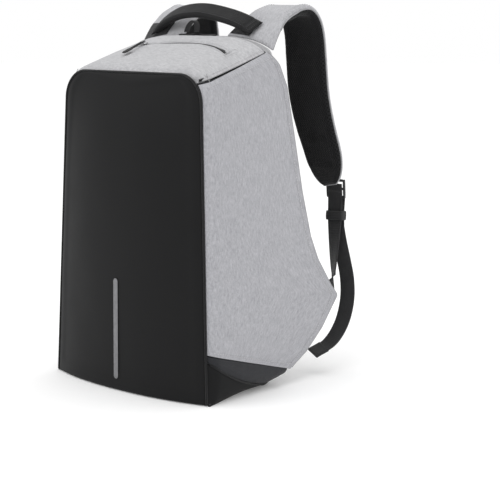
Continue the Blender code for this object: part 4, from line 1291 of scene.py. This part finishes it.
def make_pad(name, x0, x1, t0, t1):
    """A stuffed cushion: its closed form is inflated as cloth, then gets a piped edge."""

    def point(u, v):
        a, b = 2 * u - 1, 2 * v - 1
        return pad_point(x0, x1, t0, t1, u, v, 0.0082 + 0.0020 * (1 - a ** 4) * (1 - b ** 4))

    size = ((x1 - x0) * 0.125, (t1 - t0) * 0.46)
    pad = sheet_piece(f"{name}_cover", point, size=size, step=0.0045, thick=0.0085, looks=[MESH],
                      fillet=0.0060, nodes=[name])
    inflate(pad)
    project_uv(pad)
    rim = [pad_point(x0, x1, t0, t1, u, v, 0.0034) for u, v in border(0.006, 34)]
    sweep(f"{name}_piping", rim, circle(0.0016, 8), [BINDING], "shell", up=(0, 1, 0.01), closed=True)


def border(inset, count):
    """(u, v) round a unit square, just inside it."""
    low, high = inset, 1 - inset
    return corner_line(((low, low), (high, low), (high, high), (low, high), (low, low)), count)


def inflate(obj, cap=0.0045, frames=14):
    """Blow a closed mesh up a little as cloth, and keep the result."""
    scene = bpy.context.scene
    remesh = obj.modifiers.new("even", "REMESH")
    remesh.mode = "VOXEL"
    remesh.voxel_size = 0.0045
    apply_modifiers(obj)
    rest = np.array([v.co for v in obj.data.vertices])
    cloth = obj.modifiers.new("air", "CLOTH")
    cloth.settings.use_pressure = True
    cloth.settings.uniform_pressure_force = 4.0
    cloth.settings.tension_stiffness = 12
    cloth.settings.bending_stiffness = 1.2
    cloth.settings.effector_weights.gravity = 0
    cloth.settings.quality = 5
    for number in range(1, frames + 1):
        scene.frame_set(number)
    apply_modifiers(obj)
    step = np.array([v.co for v in obj.data.vertices]) - rest
    far = np.linalg.norm(step, axis=1, keepdims=True)
    step *= np.minimum(1, cap / np.maximum(far, 1e-9))
    obj.data.vertices.foreach_set("co", (rest + step).astype(np.float32).ravel())
    fine = obj.modifiers.new("fine", "SUBSURF")
    fine.levels = fine.render_levels = 1
    apply_modifiers(obj)
    obj.data.materials.clear()
    obj.data.materials.append(MESH)
    obj.data.shade_smooth()
    scene.frame_set(1)


def project_uv(obj):
    """Lay the weave on a pad as seen from behind, in metres."""
    mesh = obj.data
    layer = mesh.uv_layers.get("metres") or mesh.uv_layers.new(name="metres")
    corner = np.zeros(len(mesh.loops), np.int32)
    mesh.loops.foreach_get("vertex_index", corner)
    co = np.zeros(len(mesh.vertices) * 3, np.float32)
    mesh.vertices.foreach_get("co", co)
    co = co.reshape(-1, 3)[corner]
    layer.data.foreach_set("uv", co[:, [0, 2]].ravel())


# ---- inside ------------------------------------------------------------------------------


def patch_uv(i, j, wide, tall):
    """The corners of one cell of a grid, in metres."""
    return [(a * wide, b * tall) for a, b in ((i, j), (i + 1, j), (i + 1, j + 1), (i, j + 1))]


def make_lining():
    """The sewn-in lining, from the floor up to the zip, which closes the seams between the panels."""

    def wall(u, v):
        z0 = 0.006 + 0.012 * smooth(v * 6)
        angle = 2 * pi * u
        a = signed_power(cos(angle), 0.16)
        b = signed_power(sin(angle), 0.16)
        y_seam = 0.071 + 0.055 * b
        z = z0 + (seam_z(y_seam) - 0.0035 - z0) * v
        y_low = FRONT_LEAN * z + 0.0058
        y_high = back_y(min(max(z, 0.03), 0.44)) - 0.0128
        if z > 0.39:
            y_high -= (y_high - 0.1265) * smooth((z - 0.39) / 0.045)
        y = (y_low + y_high) / 2 + (y_high - y_low) / 2 * b
        low = 1 - smooth(z / 0.06)
        x_out = side_x(y, max(z, 0.02)) - 0.0062
        x_floor = floor_x(y) - 0.004
        x_low = min(x_floor + (x_out - x_floor) * sqrt(max(z / 0.06, 0.0)), x_out)
        x_half = x_out * (1 - low) + x_low * low
        crease = 0.0010 * float(ripple(np.float64(angle * 0.1), np.float64(z), 0.07, 5)) * sin(pi * v)
        return Vector((a * (x_half + crease), y, z))

    us = [i / 180 for i in range(180)]
    vs = [j / 60 for j in range(61)]
    outer = grid_points(us, vs, wall)
    verts = list(outer.reshape(-1, 3))
    middle = np.array([0.0, 0.08, 0.0])
    for place in outer.reshape(-1, 3):
        inward = middle - place
        inward[2] = 0.0
        verts.append(place + inward / max(np.linalg.norm(inward), 1e-9) * 0.0009)
    rows, columns = len(us), len(vs)
    half = rows * columns
    faces, uvs = [], []
    for i in range(rows):
        n = (i + 1) % rows
        for j in range(columns - 1):
            ring = [(i, j), (n, j), (n, j + 1), (i, j + 1)]
            pair = patch_uv(i, j, 0.0045, 0.007)
            faces.append([a * columns + b for a, b in ring])
            uvs += pair
            faces.append([half + a * columns + b for a, b in ring[::-1]])
            uvs += pair[::-1]
        for j, flip in ((0, True), (columns - 1, False)):
            ring = [i * columns + j, n * columns + j, half + n * columns + j, half + i * columns + j]
            faces.append(ring[::-1] if flip else ring)
            uvs += patch_uv(i, 0, 0.0045, 0.001)
    attach(link_mesh("body_lining", verts, faces, uvs, None, [LINING]), "shell", ())


def pouch(name, low, high, node, sag, look):
    """An open-topped pocket with round corners, a soft belly on its front wall and a bound mouth."""
    low, high = Vector(low), Vector(high)
    middle = (low + high) / 2
    half = (high - low) / 2
    radius = min(half.x, half.y) * 0.85
    ring = []
    for corner, (sx, sy) in enumerate(((1, 1), (-1, 1), (-1, -1), (1, -1))):
        for k in range(7):
            angle = pi / 2 * (corner + k / 6)
            x = sx * (half.x - radius) + radius * cos(angle)
            y = sy * (half.y - radius) + radius * sin(angle)
            ring.append((x, y))
    outline = np.array(ring + ring[:1])
    run = np.concatenate([[0], np.cumsum(np.linalg.norm(np.diff(outline, axis=0), axis=1))])
    count = 120
    at = np.linspace(0, run[-1], count, endpoint=False)
    loop = np.stack([np.interp(at, run, outline[:, k]) for k in range(2)], axis=1)
    rows = 46
    verts, faces, uvs = [], [], []
    for inset in (0.0, 0.0012):
        for j in range(rows + 1):
            v = j / rows
            shrink = 1 - 0.03 * (1 - smooth(v * 9))
            z = low.z + inset * (1 if j == 0 else 0) + (high.z - low.z) * v
            for x, y in loop:
                front = max(-y / half.y, 0.0)
                belly = sag * sin(pi * min(v * 1.02, 1.0)) * (1 - (x / half.x) ** 4) * front
                crease = 0.0007 * float(ripple(np.float64(x), np.float64(z), 0.05, 7))
                px = x * shrink * (1 - inset / half.x)
                py = y * shrink * (1 - inset / half.y) - belly + crease * front
                verts.append((middle.x + px, middle.y + py, z))
    half_count = (rows + 1) * count
    for j in range(rows):
        for i in range(count):
            n = (i + 1) % count
            ring = [j * count + i, j * count + n, (j + 1) * count + n, (j + 1) * count + i]
            pair = patch_uv(i, j, run[-1] / count, (high.z - low.z) / rows)
            faces.append(ring)
            uvs += pair
            faces.append([half_count + k for k in ring[::-1]])
            uvs += pair[::-1]
    for i in range(count):
        n = (i + 1) % count
        top = rows * count
        faces.append([top + i, top + n, half_count + top + n, half_count + top + i])
        uvs += [(0.0, 0.0)] * 4
    for cap in (list(range(count))[::-1], [half_count + i for i in range(count)]):
        faces.append(cap)
        uvs += [(float(verts[k][0]), float(verts[k][1])) for k in cap]
    attach(link_mesh(name, verts, faces, uvs, None, [look]), "shell", [node])
    mouth = [Vector(verts[rows * count + i]) for i in range(count)]
    tape = [(a, b - 0.0030) for a, b in circle(0.0012, 10, 3.5)]
    sweep(f"{name}_binding", mouth, tape, [BINDING], "shell", up=(0, 0, 1), closed=True)


def make_inside():
    make_lining()
    for name, low, high, node, sag, look in (
        ("sleeve", (-0.1255, 0.1125, 0.0305), (0.1255, 0.1380, 0.309), "laptop_sleeve", 0.003, LINING),
        ("organiser", (-0.1045, 0.0135, 0.0605), (0.1045, 0.0325, 0.249), "organiser_pocket", -0.003, MESH),
        ("battery", (-0.1325, 0.0455, 0.0605), (-0.1085, 0.1045, 0.169), "battery_pocket", 0.002, LINING),
    ):
        pouch(f"{name}_cloth", low, high, node, sag, look)
    for x, label in ((-0.034, "left"), (0.036, "right")):
        line = even_line((x, 0.0328, 0.075), (x, 0.0328, 0.240), 50)
        spots = [(Vector(place), Vector((0, 1, 0))) for place in line]
        stitches(f"organiser_divider_{label}", spots, "shell", GREY_THREAD)
    for node in ("back_board", "base_board"):
        repaint(node, BOARD)


def repaint(node, look):
    """A CAD node whose shape is right stays, with a better material."""
    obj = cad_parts[node]
    for slot in obj.material_slots:
        slot.material = look


# ---- shoulder straps ---------------------------------------------------------------------


STRAP_TOE = 0.925


def ribbon_frame(path, t, side, twist=0.0):
    """Centre, tangent, width direction and outward normal of a ribbon that runs along a path."""
    place = spline(path, t)
    before = spline(path, max(t - 0.01, 0.0))
    after = spline(path, min(t + 0.01, 1.0))
    centre = Vector((side * place[0], place[1], place[2]))
    step = [b - a for a, b in zip(before[:3], after[:3])]
    tangent = Vector((side * step[0], step[1], step[2])).normalized()
    across = Vector((cos(twist), -side * sin(twist), 0.0))
    across = (across - tangent * across.dot(tangent)).normalized()
    return centre, tangent, across, across.cross(tangent)


def strap_width(t):
    toe = max(t - STRAP_TOE, 0.0) / (1 - STRAP_TOE)
    return spline(STRAP_PATH, t)[3] * sqrt(max(1 - 0.86 * toe ** 2.4, 0.02))


def strap_place(side, u, v, sink=0.0):
    """A point on the outer face of a strap, or sink inside it. u runs from the sewn root to the toe."""
    centre, _, across, normal = ribbon_frame(STRAP_PATH, u, side)
    place = centre + across * ((v - 0.5) * strap_width(u))
    drop = 0.0155 * min(abs(place.x) / 0.1235, 1.0) ** 4 * max(1 - u / STRAP_ROOT_END, 0.0) ** 1.5
    lift = 0.0030 + 0.0038 * smooth((u - 0.12) / 0.10) - 0.0035 * smooth((u - 0.93) / 0.07)
    return place + normal * (lift - sink) - Vector((0.0, 0.0, drop))


def strap_depth(u, v):
    return 0.0062 + 0.0078 * smooth((u - 0.12) / 0.10) - 0.0055 * smooth((u - 0.93) / 0.07)


def strap_relief(places, us, vs):
    """Dents where the webbing is box-stitched through the pad, and puckers along the edges."""
    across = vs - 0.5
    edge = edge_distance(places)
    dent = -0.0022 * (ridge(us, 0.885, 0.006) + ridge(us, 0.955, 0.006))
    dent = dent * np.exp(-(across / 0.26) ** 6)
    along = places[..., 1] + places[..., 2]
    ripples = 0.0006 * ripple(along, places[..., 0], 0.05, 3)
    pucker = 0.0003 * ripple(along, places[..., 0], 0.010, 9) * ridge(edge, 0.0, 0.008)
    return dent + (ripples * np.clip(edge / 0.02, 0, 1) + pucker) * np.clip((us - 0.1) * 8, 0, 1)


def strap_bend(side, label):
    return ("shell", f"strap_{label}", (side * 0.0840, 0.1540, 0.4655), (side * 0.0865, 0.1840, 0.4868))


def make_strap(side, label):
    def point(u, v):
        return strap_place(side, u, v)

    bend = strap_bend(side, label)
    nodes = [f"strap_root_{label}", f"shoulder_strap_{label}", f"strap_lining_{label}"]
    strap = sheet_piece(f"strap_pad_{label}", point, size=(0.37, 0.066), step=0.0032, thick=strap_depth,
                        looks=[GREY_STRAP, MESH], body=bend, sign=-1, fillet=0.0068, nodes=nodes,
                        relief=strap_relief)
    inner = even_line((0.10, 0.0), (1.0, 0.0), 140)
    toe = even_line((1.0, 0.0), (1.0, 1.0), 12)[1:-1]
    outer = even_line((1.0, 1.0), (0.10, 1.0), 140)
    edge = [strap_rim(side, u, v) for u, v in inner + toe + outer]
    sweep(f"strap_edge_{label}", edge, circle(0.0012, 8), [EDGE_TAPE], bend, up=(0.2, 0.3, 1))
    for v, name in ((0.09, "inner"), (0.91, "outer")):
        line = even_line((0.17, v), (0.91, v), 150)
        stitch_line(f"strap_stitching_{name}_{label}", point, -1, line, bend, GREY_THREAD)
    make_box_stitch(side, label, bend)


def strap_rim(side, u, v):
    """The middle of the strap's rounded edge."""
    return strap_place(side, u, v, strap_depth(u, v) / 2)


def make_box_stitch(side, label, bend):
    """Webbing end sewn on the outside of the pad, with a stitched box and cross."""

    def patch(u, v):
        along = 0.872 + 0.118 * u
        place = strap_place(side, along, 0.5 + (v - 0.5) * 0.46)
        return place + ribbon_frame(STRAP_PATH, along, side)[3] * 0.0006

    sheet_piece(f"strap_patch_{label}", patch, size=(0.044, 0.025), step=0.0025, thick=0.0018,
                looks=[WEBBING], body=bend, sign=-1, fillet=0.0009)
    corners = ((0.08, 0.12), (0.62, 0.12), (0.62, 0.88), (0.08, 0.88), (0.08, 0.12), (0.62, 0.88),
               (0.62, 0.12), (0.08, 0.88))
    stitch_line(f"strap_box_{label}", patch, -1, corner_line(corners, 16), bend, BLACK_THREAD,
                lift=0.0003, pitch=0.0030, length=0.0022)


def ribbon_piece(name, path, side, width, thick, body, nodes=(), twist=None, start=0.0, end=1.0):
    """Webbing along a path, a little thicker at its selvedges."""

    def point(u, v):
        t = start + (end - start) * u
        centre, _, across, normal = ribbon_frame(path, t, side, twist(t) if twist else 0.0)
        selvedge = 0.00012 * (2 * v - 1) ** 8
        return centre + across * ((v - 0.5) * width) + normal * (thick / 2 + selvedge)

    places = [Vector(spline(path, t)[:3]) for t, in even_line((start,), (end,), 40)]
    length = sum((after - before).length for before, after in zip(places, places[1:]))
    sheet_piece(name, point, size=(length, width), step=0.0022, thick=thick, looks=[WEBBING], body=body,
                sign=-1, fillet=0.0008, nodes=nodes)


WEB_LINE = ((0.1229, 0.2735, 0.2590), (0.1229, 0.2742, 0.2500)) + WEB_PATH + ((0.1359, 0.2575, 0.1328),)
FOLD_LINE = ((0.1232, 0.2804, 0.2382), FOLD_PATH[1], (0.1260, 0.2760, 0.2002))
TAIL_LINE = ((0.1260, 0.2759, 0.2006),) + TAIL_PATH[1:]
HEM_THICK = 0.0044


def web_twist(t):
    """The webbing turns edge-on towards its sewn end."""
    return 0.70 * min(max((t - 0.48) / 0.38, 0.0), 1.0)


def make_webbing(side, label):
    strap = f"strap_{label}"
    tail = f"tail_{label}"
    tail_bend = (strap, tail, (side * 0.1261, 0.2759, 0.1990), (side * 0.1285, 0.2800, 0.1790))
    for name, path, body, node, twist in (
        ("adjust_webbing", WEB_LINE, strap, "strap_webbing", web_twist),
        ("webbing_fold", FOLD_LINE, strap, "tail_fold", None),
        ("webbing_tail", TAIL_LINE, tail_bend, "strap_tail", None),
    ):
        ribbon_piece(f"{name}_{label}", path, side, WEB_WIDTH, WEB_THICK, body, [f"{node}_{label}"], twist)
    ribbon_piece(f"tail_hem_{label}", TAIL_PATH, side, WEB_WIDTH + 0.0004, HEM_THICK, tail, start=0.905,
                 end=0.998)
    centre, _, across, normal = ribbon_frame(TAIL_PATH, 0.912, side)
    reach = across * (0.4 * WEB_WIDTH)
    for number, face in enumerate((normal, -normal)):
        line = even_line(centre - reach + face * 0.0023, centre + reach + face * 0.0023, 19)
        spots = [(Vector(place), face) for place in line]
        stitches(f"tail_stitching_{label}_{number}", spots, tail, BLACK_THREAD, pitch=0.0030,
                 length=0.0022)
    make_keeper(side, label)
    make_tab(side, label)
    make_lock(side, label)


def make_keeper(side, label):
    """A loop of ribbed elastic round the two layers of webbing."""
    centre, tangent, across, normal = ribbon_frame(WEB_PATH, KEEPER_PLACE, side)
    turn = Matrix((across, normal, -tangent)).transposed()
    middle = centre + turn @ Vector((0, 0.0024, 0))
    path = []
    for i in range(72):
        angle = 2 * pi * i / 72
        x = 0.0145 * signed_power(cos(angle), 0.30)
        y = 0.0058 * signed_power(sin(angle), 0.50)
        path.append(middle + turn @ Vector((x, y, 0)))
    sweep(f"keeper_elastic_{label}", path, circle(0.0008, 12, 8.0), [WEBBING], f"keeper_{label}",
          up=turn @ Vector((0, 0, 1)), nodes=[f"strap_keeper_{label}"], closed=True)


def make_tab(side, label):
    """The folded triangle of webbing between the wing and the strap."""
    low = Vector((0.1330, 0.1840, 0.0600))
    high = Vector((0.1320, 0.1860, 0.1020))
    tip_low = Vector((0.1375, 0.2575, 0.1110))
    tip_high = Vector((0.1346, 0.2575, 0.1326))

    def point(u, v):
        place = low.lerp(tip_low, u).lerp(high.lerp(tip_high, u), v)
        return Vector((side * (place.x + 0.0014), place.y, place.z))

    sheet_piece(f"anchor_tab_{label}", point, size=(0.080, 0.034), step=0.0025, thick=0.0026,
                looks=[WEBBING], sign=side, fillet=0.0010, nodes=[f"strap_tab_{label}"])
    line = even_line((0.90, 0.08), (0.90, 0.92), 20) + even_line((0.80, 0.92), (0.80, 0.08), 20)
    stitch_line(f"anchor_stitching_{label}", point, side, line, "shell", BLACK_THREAD, lift=0.0003,
                pitch=0.0032, length=0.0023)


def make_lock(side, label):
    """The ladder lock: two curved side rails and three bars, moulded in one piece."""
    turn = Matrix.Rotation(0.06, 3, "X")
    middle = Vector((side * 0.1230, 0.2778, LOCK_Z))
    bm = bmesh.new()
    for x in (-0.0146, 0.0146):
        add_bar(bm, (x, 0.0, 0.0), (0.0028, 0.0046, 0.0262), 0.0013)
    for z, deep in ((0.0113, 0.0044), (-0.0002, 0.0034), (-0.0113, 0.0048)):
        add_bar(bm, (0.0, 0.0, z), (0.0300, deep, 0.0036), 0.0014)
    bm.transform(turn.to_4x4())
    for vert in bm.verts:
        vert.co.y -= 0.0016 * (vert.co.x / 0.015) ** 2
    bm.transform(Matrix.Translation(middle))
    mesh = bpy.data.meshes.new(f"buckle_{label}")
    bm.to_mesh(mesh)
    bm.free()
    mesh.materials.append(PLASTIC)
    mesh.shade_smooth()
    obj = link_object(f"buckle_{label}", mesh)
    attach(obj, f"lock_{label}", [f"ladder_lock_{label}"])


def add_bar(bm, centre, size, fillet):
    """A rounded bar, added to a bmesh."""
    verts = bmesh.ops.create_cube(bm, size=1.0)["verts"]
    edges = list({e for v in verts for e in v.link_edges})
    bmesh.ops.subdivide_edges(bm, edges=edges, cuts=3, use_grid_fill=True)
    half = [s / 2 for s in size]
    for vert in [v for v in bm.verts if not v.tag]:
        place = Vector([c * s for c, s in zip(vert.co, size)])
        core = Vector([min(max(p, -(h - fillet)), h - fillet) for p, h in zip(place, half)])
        away = place - core
        if away.length > 1e-9:
            place = core + away.normalized() * min(fillet, away.length)
        vert.co = place + Vector(centre)
        vert.tag = True


# ---- handle, loop and port ---------------------------------------------------------------


HANDLE_WIDTH = 0.0260
# How far across each strap root the black patch under the handle reaches. It is sized to the dark area there,
# which is partly painted shade under the handle.
PATCH_AND_SHADE_REACH = {-1: 0.54, 1: 0.42}
HANDLE_BEND = ("shell", "handle", (0.0, 0.1510, 0.4745), (0.0, 0.1510, 0.4950))


def handle_frame(u):
    place = Vector(spline(HANDLE_PATH, u))
    before = Vector(spline(HANDLE_PATH, max(u - 0.01, 0.0)))
    after = Vector(spline(HANDLE_PATH, min(u + 0.01, 1.0)))
    tangent = (after - before).normalized()
    lean = Vector((0.0, 0.80, 0.60))
    across = (lean - tangent * lean.dot(tangent)).normalized()
    return place, tangent, across, tangent.cross(across)


def handle_top(u, v):
    place, _, across, normal = handle_frame(u)
    inside = smooth(min(u, 1 - u) / 0.20)
    return place + across * (HANDLE_WIDTH * (v - 0.5)) + normal * (0.0016 + 0.0030 * inside)


def handle_depth(u, v):
    return 0.0034 + 0.0060 * smooth(min(u, 1 - u) / 0.20)


def handle_relief(places, us, vs):
    edge = edge_distance(places)
    ends = ridge(us, 0.10, 0.012) + ridge(us, 0.90, 0.012)
    crease = 0.0005 * ripple(places[..., 0], places[..., 1], 0.03, 4)
    return crease * np.clip(edge / 0.01, 0, 1) - 0.0008 * ends


def make_handle():
    handle = sheet_piece("handle_pad", handle_top, size=(0.195, 0.025), step=0.0024, thick=handle_depth,
                         looks=[PADDED], body=HANDLE_BEND, fillet=0.0044, nodes=["carry_handle"],
                         relief=handle_relief)
    for v, name in ((0.14, "front"), (0.86, "rear")):
        line = even_line((0.10, v), (0.90, v), 90)
        stitch_line(f"handle_stitching_{name}", handle_top, 1, line, HANDLE_BEND, BLACK_THREAD,
                    pitch=0.0036, length=0.0025, radius=0.0003)
    for start, name in ((0.030, "left"), (0.930, "right")):
        end = start + 0.045
        corners = ((start, 0.14), (end, 0.14), (end, 0.86), (start, 0.86), (start, 0.14))
        stitch_line(f"handle_box_{name}", handle_top, 1, corner_line(corners, 14), HANDLE_BEND,
                    BLACK_THREAD, lift=0.0003, pitch=0.0030, length=0.0022)


def make_black_patch_and_shade(side, label):
    """Black webbing under an end of the handle, sewn flat on the strap's root. Its black is partly painted
    shade for the deep shadow under the handle.
    """

    def point(u, v):
        return strap_place(side, 0.010 + 0.105 * u, 0.06 + PATCH_AND_SHADE_REACH[side] * v, -0.0014)

    sheet_piece(f"handle_patch_and_shade_{label}", point, size=(0.020, 0.055), step=0.0025, thick=0.0014,
                looks=[WEBBING], sign=-1, fillet=0.0006)


def make_loop():
    pivot = Vector((-0.028, 0.1480, 0.4645))

    def point(u, v):
        angle = pi * u
        place = pivot + Vector((0.0104 * cos(angle), 0.005 * sin(angle), 0.0156 * sin(angle)))
        return place + Vector((0, 0.009 * (v - 0.5), 0))

    sheet_piece("hang_loop_webbing", point, size=(0.042, 0.009), step=0.0014, thick=0.0016,
                looks=[WEBBING], body="loop", sign=-1, fillet=0.0006, nodes=["hang_loop"])


def make_port():
    repaint("port_frame", PLASTIC)
    repaint("usb_socket", METAL)
    face = side_x(PORT_Y, PORT_Z)
    hinge = Vector((-face - 0.0053, PORT_Y, PORT_Z + 0.0085))

    def cover(u, v):
        y = PORT_Y - 0.0130 + 0.0260 * u
        z = hinge.z - 0.0160 * v
        corner = min(u, 1 - u) * 0.026
        rib = 0.00030 * sin(2 * pi * (v - 0.55) * 7) if v > 0.55 and corner > 0.004 else 0.0
        return Vector((hinge.x - 0.0012 - rib, y, z))

    sheet_piece("port_flap_rubber", cover, size=(0.026, 0.016), step=0.0008, thick=0.0021, looks=[RUBBER],
                body="port_flap", fillet=0.0016, nodes=["port_cover"])


# ---- stage -------------------------------------------------------------------------------


def make_stage():
    bm = bmesh.new()
    bmesh.ops.create_circle(bm, cap_ends=True, segments=64, radius=12.0)
    mesh = bpy.data.meshes.new("floor")
    bm.to_mesh(mesh)
    bm.free()
    look = Look("paper", 0.9, specular=0.1)
    grain = look.noise(look.coords("Object"), 3.0, 2.0, 0.5)
    look.colour(look.ramp(grain, [(0.0, (0.90, 0.90, 0.90)), (1.0, (0.93, 0.93, 0.93))]))
    look.shader.inputs["Emission Color"].default_value = (1.0, 1.0, 1.0, 1.0)
    look.shader.inputs["Emission Strength"].default_value = 0.12
    mesh.materials.append(look.made)
    mesh.shade_smooth()
    link_object("floor", mesh, (0.0, 0.0, 0.0))


def area_light(name, place, aim, size, power):
    data = bpy.data.lights.new(name, "AREA")
    data.shape = "RECTANGLE"
    data.size, data.size_y = size
    data.energy = power
    light = link_object(name, data, place)
    light.rotation_euler = (Vector(aim) - Vector(place)).to_track_quat("-Z", "Y").to_euler()


def make_lights():
    world = bpy.data.worlds.new("studio")
    world.use_nodes = True
    world.node_tree.nodes["Background"].inputs["Color"].default_value = (1.0, 1.0, 1.0, 1.0)
    world.node_tree.nodes["Background"].inputs["Strength"].default_value = 1.0
    bpy.context.scene.world = world
    middle = (0.0, 0.0, 0.25)
    area_light("key", (-0.9, -1.6, 2.4), middle, (1.4, 1.2), 10.0)
    area_light("top", (0.1, 0.3, 2.6), middle, (2.0, 2.0), 14.0)


def make_camera():
    data = bpy.data.cameras.new("camera")
    data.sensor_width = 36.0
    data.lens = 109.1
    data.clip_start = 0.05
    camera = bpy.data.objects.new("camera", data)
    camera.location = (1.45678, -1.44468, 0.49581)
    aim = Vector((0.11244, -0.01702, 0.18349)) - camera.location
    camera.rotation_euler = aim.to_track_quat("-Z", "Y").to_euler()
    bpy.context.scene.collection.objects.link(camera)
    bpy.context.scene.camera = camera


# ---- main --------------------------------------------------------------------------------

make_front()
for SIDE, LABEL in ((-1, "left"), (1, "right")):
    make_side(SIDE, LABEL)
    make_gusset(SIDE, LABEL)
    make_strap(SIDE, LABEL)
    make_webbing(SIDE, LABEL)
make_bottom()
make_lid()
make_pocket_zip()
make_lid_pull()
make_main_zip()
make_back()
make_inside()
make_handle()
for SIDE, LABEL in ((-1, "left"), (1, "right")):
    make_black_patch_and_shade(SIDE, LABEL)
make_loop()
make_port()
repaint("pocket_zip_slider", METAL)
for LABEL in ("left", "right"):
    repaint(f"main_zip_slider_{LABEL}", GUNMETAL)
make_stage()
make_lights()
make_camera()
bpy.context.scene.view_settings.view_transform = "Standard"
